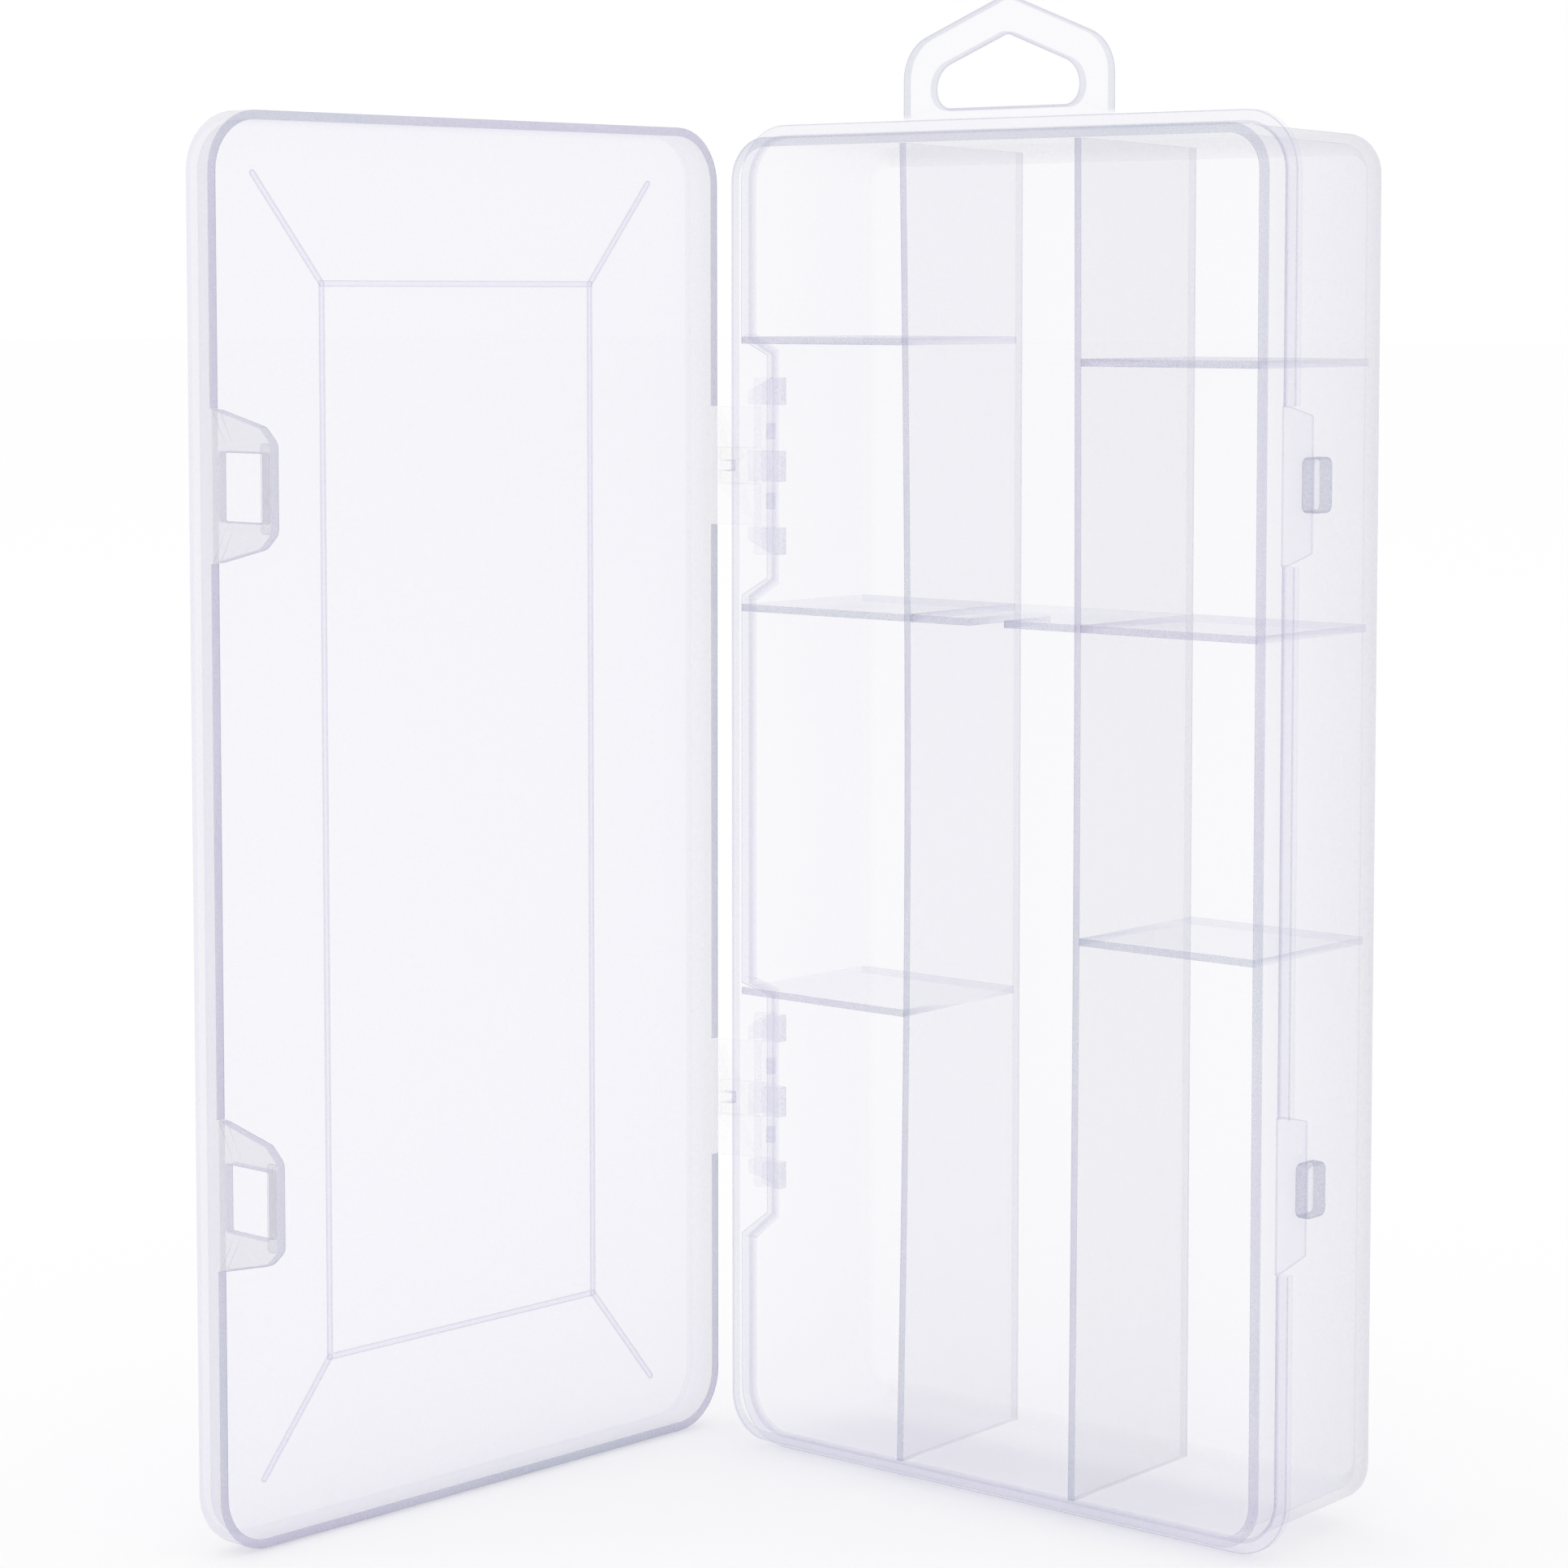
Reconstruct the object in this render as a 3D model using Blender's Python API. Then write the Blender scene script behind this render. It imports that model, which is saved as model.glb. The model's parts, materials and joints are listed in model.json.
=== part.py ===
"""Compartment box for fishing tackle: a clear tray with fixed dividers, a hang tab,
and a lid on two snap hinges that closes with two latch tabs.

Frame, in metres: the box stands on its short end. +Z is up, +X runs from the hinge side
to the latch side, and +Y runs from the open front of the tray to its back. The origin is
the middle of the lower edge of the rim flange.
"""

import math

import bmesh
import bpy
from mathutils import Vector

# Tray
RIM_WIDTH = 0.0888  # outside of the walls at the open front, across
RIM_HEIGHT = 0.1808  # outside of the walls at the open front, up
TRAY_DEPTH = 0.0275
CORNER_RADIUS = 0.0060  # outside, seen from the front
WALL = 0.0013
BACK_THICKNESS = 0.0013
DRAFT = 0.0007  # how far each wall leans in by the time it reaches the back
BACK_EDGE_RADIUS = 0.0011

# Dividers
DIVIDER_THICKNESS = 0.0010
DIVIDER_RECESS = 0.0006  # how far their front edges sit behind the rim
LEFT_PLATE_SHARES = (0.345, 0.645, 0.852)  # plate heights as shares of the cavity height
RIGHT_PLATE_SHARES = (0.416, 0.645, 0.838)
MIDDLE_PLATE_SHARE = 0.645
NOTCH_WIDTH = 0.0058  # finger notch in the middle plate
NOTCH_DEPTH = 0.0120

# Rim flange, the ledge that the closed lid meets
FLANGE_SETBACK = 0.0040  # from the rim to the flange's front face
FLANGE_THICKNESS = 0.00125
FLANGE_REACH = 0.00175  # how far it stands out from the walls
JOG_LENGTH = 0.0355  # the stretch at each hinge where the flange steps back
JOG_RUN = 0.0022
JOG_REACH = 0.0012  # how far the stepped-back stretch stands out
JOG_CLEARANCE = 0.00035  # between the stepped-back flange and the clips' arms behind it

# Hang tab
TAB_WIDTH = 0.0344
TAB_SHOULDER = 0.0095  # sharp shoulder corner above the flange's top edge
TAB_SHOULDER_RADIUS = 0.0060
TAB_APEX_RADIUS = 0.0040
ROOF_ANGLE = math.radians(21.0)
SLOT_WIDTH = 0.0242
SLOT_RISE = 0.00145  # from the flange's top edge to the bottom of the slot
SLOT_SHOULDER = 0.0049  # sharp shoulder corner above the bottom of the slot
SLOT_BOTTOM_RADIUS = 0.0024
SLOT_SHOULDER_RADIUS = 0.0034
SLOT_APEX_RADIUS = 0.0020

# Hinges
HINGE_SPACING = 0.0900  # between the two hinges
HINGE_AXIS_DEPTH = 0.0105  # axis behind the rim
PIN_RADIUS = 0.0012
PIN_CLEARANCE = 0.00007
CLIP_WALL = 0.00075
CLIP_SPACING = 0.0105  # from the middle clip to each outer one
MIDDLE_CLIP_LENGTH = 0.0043
OUTER_CLIP_LENGTH = 0.0038
CLIP_SLANT = 0.0020  # how much shorter an outer clip is at its front
CLIP_MOUTH = math.radians(76.0)
CLIP_ARM_BACK = 0.0014  # the arm's faces, behind and in front of the axis
CLIP_ARM_FRONT = 0.00015
LEAF_THICKNESS = 0.0012
LEAF_NOTCH_SHARE = 0.35  # where the middle clip's notch starts along the leaf

# Latches
LATCH_SPACING = 0.0900
LATCH_GAP = 0.0201  # the break in the flange at each latch
CATCH_LENGTH = 0.0071
CATCH_DEPTH = 0.0045
CATCH_HEIGHT = 0.0015  # its top above the wall
CATCH_RADIUS = 0.0010
CATCH_START = 0.0084  # its front face behind the rim
LATCH_ROOT_LENGTH = 0.0194
LATCH_TIP_LENGTH = 0.0145
LATCH_REACH = 0.0116  # from the skirt's edge to the tab's tip
LATCH_ROOT_STRAIGHT = 0.0020
WINDOW_LENGTH = 0.0086
WINDOW_START = 0.0015  # from the skirt's edge
WINDOW_DEPTH = 0.0081
GRIP_DEPTH = 0.0016
GRIP_HEIGHT = 0.0006

# Lid
LID_CLEARANCE = 0.00055  # between the rim's outside and the skirt's inside
LID_SEAT = 0.0003  # between the rim and the lid panel
LID_THICKNESS = 0.0012
LID_EDGE_RADIUS = 0.0009
SKIRT_GAP = 0.0004  # between the skirt's edge and the flange
LID_OPEN_ANGLE = math.radians(91.5)  # how far the lid stands open at rest
RIB_WIDTH = 0.0008
RIB_HEIGHT = 0.0003
RIB_SIDE_INSET = 0.0200  # from the rim's side to the long ribs
RIB_END_INSET = 0.0200
RIB_TIP_SIDE_INSET = 0.0085
RIB_TIP_END_INSET = 0.0060

GAP = 0.0003  # between neighbouring pieces
ARC_STEPS = 8  # facets in a corner
PIN_SIDES = 24

# Places that follow from the sizes
FLANGE_FRONT = -FLANGE_THICKNESS / 2
RIM_FRONT = FLANGE_FRONT - FLANGE_SETBACK
TRAY_BACK = RIM_FRONT + TRAY_DEPTH
CAVITY_FRONT = RIM_FRONT + DIVIDER_RECESS
CAVITY_BACK = TRAY_BACK - BACK_THICKNESS
MIDDLE_Z = FLANGE_REACH + RIM_HEIGHT / 2
FLANGE_TOP = 2 * FLANGE_REACH + RIM_HEIGHT
CAVITY_LOW = FLANGE_REACH + WALL
CAVITY_HEIGHT = RIM_HEIGHT - 2 * WALL
COLUMN_WIDTH = (RIM_WIDTH - 2 * WALL - 2 * DIVIDER_THICKNESS) / 3
DIVIDER_X = COLUMN_WIDTH / 2 + DIVIDER_THICKNESS / 2
CLIP_BORE = PIN_RADIUS + PIN_CLEARANCE
CLIP_RADIUS = CLIP_BORE + CLIP_WALL
HINGE_STANDOFF = JOG_REACH + GAP + CLIP_RADIUS  # the clips clear the stepped-back flange
HINGE_X = -RIM_WIDTH / 2 - HINGE_STANDOFF
HINGE_Y = RIM_FRONT + HINGE_AXIS_DEPTH
JOG_DEPTH = HINGE_AXIS_DEPTH - CLIP_ARM_FRONT - JOG_CLEARANCE - FLANGE_THICKNESS - FLANGE_SETBACK
SKIRT_THICKNESS = FLANGE_REACH - LID_CLEARANCE
SKIRT_EDGE = FLANGE_FRONT - SKIRT_GAP
PANEL_BACK = RIM_FRONT - LID_SEAT
SKIRT_OUTSIDE = RIM_WIDTH / 2 + FLANGE_REACH

PLASTIC = (0.84, 0.84, 0.92, 1.0)
EDGE_PLASTIC = (0.74, 0.74, 0.86, 1.0)


def clear_scene():
    for ob in list(bpy.data.objects):
        bpy.data.objects.remove(ob, do_unlink=True)


def plastic(name, colour):
    material = bpy.data.materials.new(name)
    material.use_nodes = True
    shader = material.node_tree.nodes["Principled BSDF"]
    shader.inputs["Base Color"].default_value = colour
    shader.inputs["Roughness"].default_value = 0.28
    shader.inputs["Metallic"].default_value = 0.0
    return material


def add_object(name, bm, colour, parent=None):
    """Turns a finished bmesh into a named object with its own material."""
    bmesh.ops.recalc_face_normals(bm, faces=bm.faces)
    mesh = bpy.data.meshes.new(name)
    bm.to_mesh(mesh)
    bm.free()
    mesh.shade_smooth()
    mesh.set_sharp_from_angle(angle=math.radians(35.0))
    mesh.materials.append(plastic(name, colour))
    ob = bpy.data.objects.new(name, mesh)
    bpy.context.scene.collection.objects.link(ob)
    ob.parent = parent
    return ob


def add_pivot(name, location, parent=None, turn=0.0):
    pivot = bpy.data.objects.new(name, None)
    pivot.location = location
    pivot.rotation_euler = (0.0, 0.0, turn)
    pivot.parent = parent
    bpy.context.scene.collection.objects.link(pivot)
    return pivot


def arc(centre, radius, start, end, steps):
    """Points on a circle, from one angle to the other."""
    points = []
    for i in range(steps + 1):
        angle = start + (end - start) * i / steps
        points.append((centre[0] + radius * math.cos(angle), centre[1] + radius * math.sin(angle)))
    return points


def rounded_rectangle(half_width, low, high, radius):
    """Outline in X and Z, anticlockwise from the lower right, with its sides at +-half_width."""
    centres = (
        (half_width - radius, low + radius, -0.5),
        (half_width - radius, high - radius, 0.0),
        (radius - half_width, high - radius, 0.5),
        (radius - half_width, low + radius, 1.0),
    )
    points = []
    for x, z, quarter in centres:
        start = quarter * math.pi
        points += arc((x, z), radius, start, start + math.pi / 2, ARC_STEPS)
    return points


def rounded_polygon(corners, steps=ARC_STEPS):
    """Outline with each corner (a, b, radius) rounded by an arc that touches both sides."""
    points = []
    count = len(corners)
    for i, (a, b, radius) in enumerate(corners):
        corner = Vector((a, b))
        if radius <= 0.0:
            points.append((a, b))
            continue
        before = (Vector(corners[i - 1][:2]) - corner).normalized()
        after = (Vector(corners[(i + 1) % count][:2]) - corner).normalized()
        half_angle = before.angle(after) / 2
        centre = corner + (before + after).normalized() * radius / math.sin(half_angle)
        first = corner + before * radius / math.tan(half_angle) - centre
        turn = first.angle_signed(corner + after * radius / math.tan(half_angle) - centre)
        start = math.atan2(first.y, first.x)
        points += arc(centre, radius, start, start - turn, steps)
    return points


def loft(loops, closed_ends=True):
    """Solid through loops of points that all have the same count, with the ends filled."""
    bm = bmesh.new()
    rings = [[bm.verts.new(point) for point in loop] for loop in loops]
    count = len(rings[0])
    for first, second in zip(rings, rings[1:]):
        for i in range(count):
            j = (i + 1) % count
            bm.faces.new((first[i], first[j], second[j], second[i]))
    if closed_ends:
        bm.faces.new(rings[0])
        bm.faces.new(rings[-1])
    return bm


def plate(outline, holes, place, thickness):
    """Flat plate with holes. place turns the two outline coordinates and a height into a point."""
    bm = bmesh.new()
    edges = []
    for loop in [outline] + holes:
        verts = [bm.verts.new(place(a, b, 0.0)) for a, b in loop]
        edges += [bm.edges.new((v, verts[i - 1])) for i, v in enumerate(verts)]
    bmesh.ops.triangle_fill(bm, use_beauty=True, edges=edges)
    step = Vector(place(0.0, 0.0, thickness)) - Vector(place(0.0, 0.0, 0.0))
    extruded = bmesh.ops.extrude_face_region(bm, geom=bm.faces[:])
    verts = [v for v in extruded["geom"] if isinstance(v, bmesh.types.BMVert)]
    bmesh.ops.translate(bm, verts=verts, vec=step)
    return bm


def facing_front(y):
    """Places an outline in X and Z, with thickness running back from y."""
    return lambda a, b, height: (a, y + height, b)


def stacked_up(z):
    """Places an outline in X and Y, with thickness running up from z."""
    return lambda a, b, height: (a, b, z + height)


def standing_sideways(x):
    """Places an outline in Y and Z, with thickness running towards +X from x."""
    return lambda a, b, height: (x + height, a, b)


def outline_at(offset, inset=0.0):
    """The rim's outline moved outwards by offset and inwards by inset."""
    grow = offset - inset
    half_width = RIM_WIDTH / 2 + grow
    low = FLANGE_REACH - grow
    high = FLANGE_REACH + RIM_HEIGHT + grow
    return rounded_rectangle(half_width, low, high, CORNER_RADIUS + grow)


def lean(y):
    """How far the drafted walls have moved in at a place between front and back."""
    return DRAFT * (y - RIM_FRONT) / TRAY_DEPTH


def at_depth(outline, y):
    return [(x, y, z) for x, z in outline]


def make_tray_shell():
    """Walls and back in one: up the inside, over the rim, down the outside, round the back edge."""
    loops = [
        at_depth(outline_at(0.0, WALL + lean(CAVITY_BACK)), CAVITY_BACK),
        at_depth(outline_at(0.0, WALL), RIM_FRONT),
        at_depth(outline_at(0.0), RIM_FRONT),
        at_depth(outline_at(0.0, lean(TRAY_BACK - BACK_EDGE_RADIUS)), TRAY_BACK - BACK_EDGE_RADIUS),
    ]
    rounding_steps = 3
    for i in range(1, rounding_steps + 1):
        angle = math.pi / 2 * i / rounding_steps
        inset = lean(TRAY_BACK) + BACK_EDGE_RADIUS * (1 - math.cos(angle))
        y = TRAY_BACK - BACK_EDGE_RADIUS * (1 - math.sin(angle))
        loops.append(at_depth(outline_at(0.0, inset), y))
    add_object("tray_shell", loft(loops), PLASTIC)


def make_long_dividers():
    """Two full-height walls that split the tray into three columns."""
    low = CAVITY_LOW + GAP
    high = CAVITY_LOW + CAVITY_HEIGHT - GAP
    front, back = CAVITY_FRONT, CAVITY_BACK - GAP
    side = (
        (front, low + lean(front)),
        (back, low + lean(back)),
        (back, high - lean(back)),
        (front, high - lean(front)),
    )
    for name, x in (("long_divider_left", -DIVIDER_X), ("long_divider_right", DIVIDER_X)):
        bm = plate(side, [], standing_sideways(x - DIVIDER_THICKNESS / 2), DIVIDER_THICKNESS)
        add_object(name, bm, PLASTIC)


def side_plate_outline(side):
    """Plate between a long divider and a drafted side wall. side is -1 or 1."""
    front, back = CAVITY_FRONT, CAVITY_BACK - GAP
    inner = side * (DIVIDER_X + DIVIDER_THICKNESS / 2 + GAP)
    wall = RIM_WIDTH / 2 - WALL - GAP
    return [
        (inner, front),
        (side * (wall - lean(front)), front),
        (side * (wall - lean(back)), back),
        (inner, back),
    ]


def middle_plate_outline():
    """Plate between the long dividers, with a round-bottomed finger notch in its front edge."""
    front, back = CAVITY_FRONT, CAVITY_BACK - GAP
    reach = COLUMN_WIDTH / 2 - GAP
    radius = NOTCH_WIDTH / 2
    notch = arc((0.0, front + NOTCH_DEPTH - radius), radius, math.pi, 0.0, 2 * ARC_STEPS)
    return [(-reach, front), (-radius, front)] + notch + [(radius, front), (reach, front),
                                                          (reach, back), (-reach, back)]


def plate_low(share):
    """Underside of a cross plate whose middle sits at a share of the cavity's height."""
    return CAVITY_LOW + share * CAVITY_HEIGHT - DIVIDER_THICKNESS / 2


def make_cross_dividers():
    rows = [
        ("cross_divider_left", LEFT_PLATE_SHARES, side_plate_outline(-1)),
        ("cross_divider_right", RIGHT_PLATE_SHARES, side_plate_outline(1)),
    ]
    for name, shares, outline in rows:
        for number, share in enumerate(shares, 1):
            bm = plate(outline, [], stacked_up(plate_low(share)), DIVIDER_THICKNESS)
            add_object(f"{name}_{number}", bm, PLASTIC)
    place = stacked_up(plate_low(MIDDLE_PLATE_SHARE))
    bm = plate(middle_plate_outline(), [], place, DIVIDER_THICKNESS)
    add_object("cross_divider_middle", bm, PLASTIC)


def jog_stations(middle):
    """Front and back lines of the flange where it steps back at one hinge, going down.

    Each station is (front z, back z, front y, outer x). The back line is shifted so that the
    slanted stretches keep the flange's thickness.
    """
    slant = math.atan2(JOG_DEPTH, JOG_RUN)
    shift = FLANGE_THICKNESS * math.tan(slant / 2)
    outer, inner = JOG_LENGTH / 2, JOG_LENGTH / 2 - JOG_RUN
    deep = FLANGE_FRONT + JOG_DEPTH
    narrow = RIM_WIDTH / 2 + JOG_REACH
    return [
        (middle + outer, middle + outer + shift, FLANGE_FRONT, SKIRT_OUTSIDE),
        (middle + inner, middle + inner + shift, deep, narrow),
        (middle - inner, middle - inner - shift, deep, narrow),
        (middle - outer, middle - outer - shift, FLANGE_FRONT, SKIRT_OUTSIDE),
    ]


def flange_section(inner, outer, front_y):
    """Four corners of the flange at one place along it, inside to outside and back."""
    return [
        (inner[0], front_y, inner[1]),
        (outer[0], front_y, outer[1]),
        (outer[0], front_y + FLANGE_THICKNESS, outer[1]),
        (inner[0], front_y + FLANGE_THICKNESS, inner[1]),
    ]


def make_rim_flange():
    """The ledge round the tray, open at the latch side and stepped back at each hinge."""
    inner = outline_at(GAP)
    outer = outline_at(FLANGE_REACH)
    corner = ARC_STEPS + 1
    start = MIDDLE_Z + LATCH_SPACING / 2 + LATCH_GAP / 2
    end = MIDDLE_Z - LATCH_SPACING / 2 - LATCH_GAP / 2
    inner_x, outer_x = RIM_WIDTH / 2 + GAP, SKIRT_OUTSIDE
    sections = [flange_section((inner_x, start), (outer_x, start), FLANGE_FRONT)]
    for i in range(corner, 3 * corner):
        sections.append(flange_section(inner[i], outer[i], FLANGE_FRONT))
    for middle in (MIDDLE_Z + HINGE_SPACING / 2, MIDDLE_Z - HINGE_SPACING / 2):
        for front_z, back_z, y, edge_x in jog_stations(middle):
            sections.append([
                (-inner_x, y, front_z),
                (-edge_x, y, front_z),
                (-edge_x, y + FLANGE_THICKNESS, back_z),
                (-inner_x, y + FLANGE_THICKNESS, back_z),
            ])
    for i in list(range(3 * corner, 4 * corner)) + list(range(corner)):
        sections.append(flange_section(inner[i], outer[i], FLANGE_FRONT))
    sections.append(flange_section((inner_x, end), (outer_x, end), FLANGE_FRONT))
    add_object("rim_flange", loft(sections), EDGE_PLASTIC)

    half = LATCH_SPACING / 2 - LATCH_GAP / 2
    between = [
        flange_section((inner_x, MIDDLE_Z + z), (outer_x, MIDDLE_Z + z), FLANGE_FRONT)
        for z in (-half, half)
    ]
    add_object("rim_flange_latch_side", loft(between), EDGE_PLASTIC)


def roofed_outline(half_width, low, shoulder, radii):
    """Five-sided outline with a pitched top: bottom, shoulder and apex radii are given."""
    bottom, side, top = radii
    apex = shoulder + half_width * math.tan(ROOF_ANGLE)
    return rounded_polygon([
        (half_width, low, bottom),
        (half_width, shoulder, side),
        (0.0, apex, top),
        (-half_width, shoulder, side),
        (-half_width, low, bottom),
    ])


def make_hang_tab():
    outside = roofed_outline(TAB_WIDTH / 2, FLANGE_TOP + GAP, FLANGE_TOP + TAB_SHOULDER,
                             (0.0, TAB_SHOULDER_RADIUS, TAB_APEX_RADIUS))
    slot_low = FLANGE_TOP + SLOT_RISE
    slot = roofed_outline(SLOT_WIDTH / 2, slot_low, slot_low + SLOT_SHOULDER,
                          (SLOT_BOTTOM_RADIUS, SLOT_SHOULDER_RADIUS, SLOT_APEX_RADIUS))
    bm = plate(outside, [slot], facing_front(FLANGE_FRONT), FLANGE_THICKNESS)
    add_object("hang_tab", bm, EDGE_PLASTIC)


def clip_outline():
    """C-shaped hook round the hinge axis with an arm to the wall, in X and Y from the axis."""
    wall = HINGE_STANDOFF - GAP
    front = -math.pi / 2
    mouth_in, mouth_out = front + CLIP_MOUTH / 2, front - CLIP_MOUTH / 2
    arm_front = -math.asin(min(CLIP_ARM_FRONT / CLIP_RADIUS, math.sin(-mouth_in)))
    arm_back = math.asin(CLIP_ARM_BACK / CLIP_RADIUS)
    points = arc((0.0, 0.0), CLIP_RADIUS, mouth_in, arm_front, 2)
    points += [(wall, CLIP_RADIUS * math.sin(arm_front)), (wall, CLIP_ARM_BACK)]
    points += arc((0.0, 0.0), CLIP_RADIUS, arm_back, mouth_out + 2 * math.pi, PIN_SIDES)
    points += arc((0.0, 0.0), CLIP_BORE, mouth_out + 2 * math.pi, mouth_in, PIN_SIDES)
    return points


def make_clip(name, middle, length, slanted_side):
    """Clip on the tray's wall. slanted_side is 1 or -1 for a sloping upper or lower face, or 0."""
    bm = plate(clip_outline(), [], stacked_up(-length / 2), length)
    for v in bm.verts:
        if slanted_side * v.co.z > 0.0:
            share = max(0.0, (CLIP_ARM_BACK - v.co.y) / (CLIP_ARM_BACK + CLIP_RADIUS))
            v.co.z -= slanted_side * CLIP_SLANT * share
    ob = add_object(name, bm, EDGE_PLASTIC)
    ob.location = (HINGE_X, HINGE_Y, middle)


def make_hinge_clips():
    for level, middle in (("upper", MIDDLE_Z + HINGE_SPACING / 2),
                          ("lower", MIDDLE_Z - HINGE_SPACING / 2)):
        make_clip(f"hinge_clip_{level}_top", middle + CLIP_SPACING, OUTER_CLIP_LENGTH, 1)
        make_clip(f"hinge_clip_{level}_middle", middle, MIDDLE_CLIP_LENGTH, 0)
        make_clip(f"hinge_clip_{level}_bottom", middle - CLIP_SPACING, OUTER_CLIP_LENGTH, -1)


def make_latch_catches():
    """Rounded blocks on the latch-side wall that the lid's latch windows drop over."""
    front = RIM_FRONT + CATCH_START
    back = front + CATCH_DEPTH
    low = RIM_WIDTH / 2 + GAP
    for level, middle in (("upper", MIDDLE_Z + LATCH_SPACING / 2),
                          ("lower", MIDDLE_Z - LATCH_SPACING / 2)):
        outline = rounded_polygon([
            (front, middle - CATCH_LENGTH / 2, CATCH_RADIUS),
            (back, middle - CATCH_LENGTH / 2, CATCH_RADIUS),
            (back, middle + CATCH_LENGTH / 2, CATCH_RADIUS),
            (front, middle + CATCH_LENGTH / 2, CATCH_RADIUS),
        ], 4)
        bm = plate(outline, [], standing_sideways(low), CATCH_HEIGHT - GAP)
        add_object(f"latch_catch_{level}", bm, EDGE_PLASTIC)


def move_from_hinge(bm):
    """Shifts a closed-lid shape so that its coordinates start at the hinge axis."""
    bmesh.ops.translate(bm, verts=bm.verts[:], vec=(-HINGE_X, -HINGE_Y, 0.0))
    return bm


def make_lid_panel(lid):
    """Flat panel that covers the whole lid, with its outer edge rounded."""
    front = PANEL_BACK - LID_THICKNESS
    loops = [at_depth(outline_at(FLANGE_REACH), PANEL_BACK)]
    rounding_steps = 3
    for i in range(rounding_steps + 1):
        angle = math.pi / 2 * i / rounding_steps
        inset = LID_EDGE_RADIUS * (1 - math.cos(angle))
        y = front + LID_EDGE_RADIUS * (1 - math.sin(angle))
        loops.append(at_depth(outline_at(FLANGE_REACH, inset), y))
    add_object("lid_panel", move_from_hinge(loft(loops)), PLASTIC, lid)


def make_lid_skirt(lid):
    """The wall round the lid that slips over the tray's rim."""
    front = PANEL_BACK + GAP
    outer = outline_at(FLANGE_REACH)
    inner = outline_at(LID_CLEARANCE)
    loops = [
        at_depth(outer, front),
        at_depth(outer, SKIRT_EDGE),
        at_depth(inner, SKIRT_EDGE),
        at_depth(inner, front),
        at_depth(outer, front),
    ]
    bm = loft(loops, closed_ends=False)
    bmesh.ops.remove_doubles(bm, verts=bm.verts[:], dist=1e-6)
    add_object("lid_skirt", move_from_hinge(bm), EDGE_PLASTIC, lid)


def stadium(start, end, width):
    """Outline of a straight rib with round ends, in X and Z."""
    along = (Vector(end) - Vector(start)).normalized()
    heading = math.atan2(along.y, along.x)
    first = arc(end, width / 2, heading - math.pi / 2, heading + math.pi / 2, 6)
    second = arc(start, width / 2, heading + math.pi / 2, heading + 3 * math.pi / 2, 6)
    return first + second


def make_lid_ribs(lid):
    """Raised frame on the inside of the lid panel, with a rib running to each corner."""
    front = PANEL_BACK + GAP
    half_width = RIM_WIDTH / 2 - RIB_SIDE_INSET
    half_height = RIM_HEIGHT / 2 - RIB_END_INSET
    tip_x = RIM_WIDTH / 2 - RIB_TIP_SIDE_INSET
    tip_z = RIM_HEIGHT / 2 - RIB_TIP_END_INSET
    half_rib = RIB_WIDTH / 2
    frame = [
        [(x * (half_width + grow), MIDDLE_Z + z * (half_height + grow))
         for x, z in ((1, -1), (1, 1), (-1, 1), (-1, -1))]
        for grow in (half_rib, -half_rib)
    ]
    place = facing_front(front)
    bm = plate(frame[0], [frame[1]], place, RIB_HEIGHT)
    ribs = add_object("lid_ribs", move_from_hinge(bm), EDGE_PLASTIC, lid)
    for i, (x, z) in enumerate(((1, -1), (1, 1), (-1, 1), (-1, -1))):
        start = (x * half_width, MIDDLE_Z + z * half_height)
        end = (x * tip_x, MIDDLE_Z + z * tip_z)
        tool_bm = plate(stadium(start, end, RIB_WIDTH), [], place, RIB_HEIGHT)
        join_with(ribs, f"rib_guide_{i}", move_from_hinge(tool_bm), lid)


def join_with(ob, name, bm, parent):
    """Unions a shape into an object by a Boolean, with the shape itself kept as a hidden guide."""
    guide = add_object(name, bm, EDGE_PLASTIC, parent)
    guide.hide_render = True
    guide.display_type = "WIRE"
    union = ob.modifiers.new(name, "BOOLEAN")
    union.operation = "UNION"
    union.solver = "EXACT"
    union.object = guide


def make_hinge_leaf(name, middle, lid):
    """Plate from the skirt's edge to the pin, notched for the middle clip."""
    skirt_middle = SKIRT_OUTSIDE - SKIRT_THICKNESS / 2
    start = Vector((-skirt_middle - HINGE_X, SKIRT_EDGE - HINGE_Y))
    along = -start.normalized()
    across = Vector((-along.y, along.x))
    begin = GAP + LEAF_THICKNESS / 2 * abs(across.y) / abs(along.y)
    length = start.length - PIN_RADIUS - GAP
    half = CLIP_SPACING - OUTER_CLIP_LENGTH / 2 - GAP
    notch = MIDDLE_CLIP_LENGTH / 2 + GAP
    notch_start = begin + LEAF_NOTCH_SHARE * (length - begin)
    outline = [
        (begin, -half), (length, -half), (length, -notch), (notch_start, -notch),
        (notch_start, notch), (length, notch), (length, half), (begin, half),
    ]

    def place(a, b, height):
        point = start + along * a + across * (height - LEAF_THICKNESS / 2)
        return (point.x, point.y, middle + b)

    add_object(name, plate(outline, [], place, LEAF_THICKNESS), EDGE_PLASTIC, lid)


def make_hinge_pin(name, middle, lid):
    length = 2 * CLIP_SPACING + OUTER_CLIP_LENGTH
    circle = arc((0.0, 0.0), PIN_RADIUS, 0.0, 2 * math.pi, PIN_SIDES)[:-1]
    bm = plate(circle, [], stacked_up(middle - length / 2), length)
    add_object(name, bm, EDGE_PLASTIC, lid)


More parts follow.
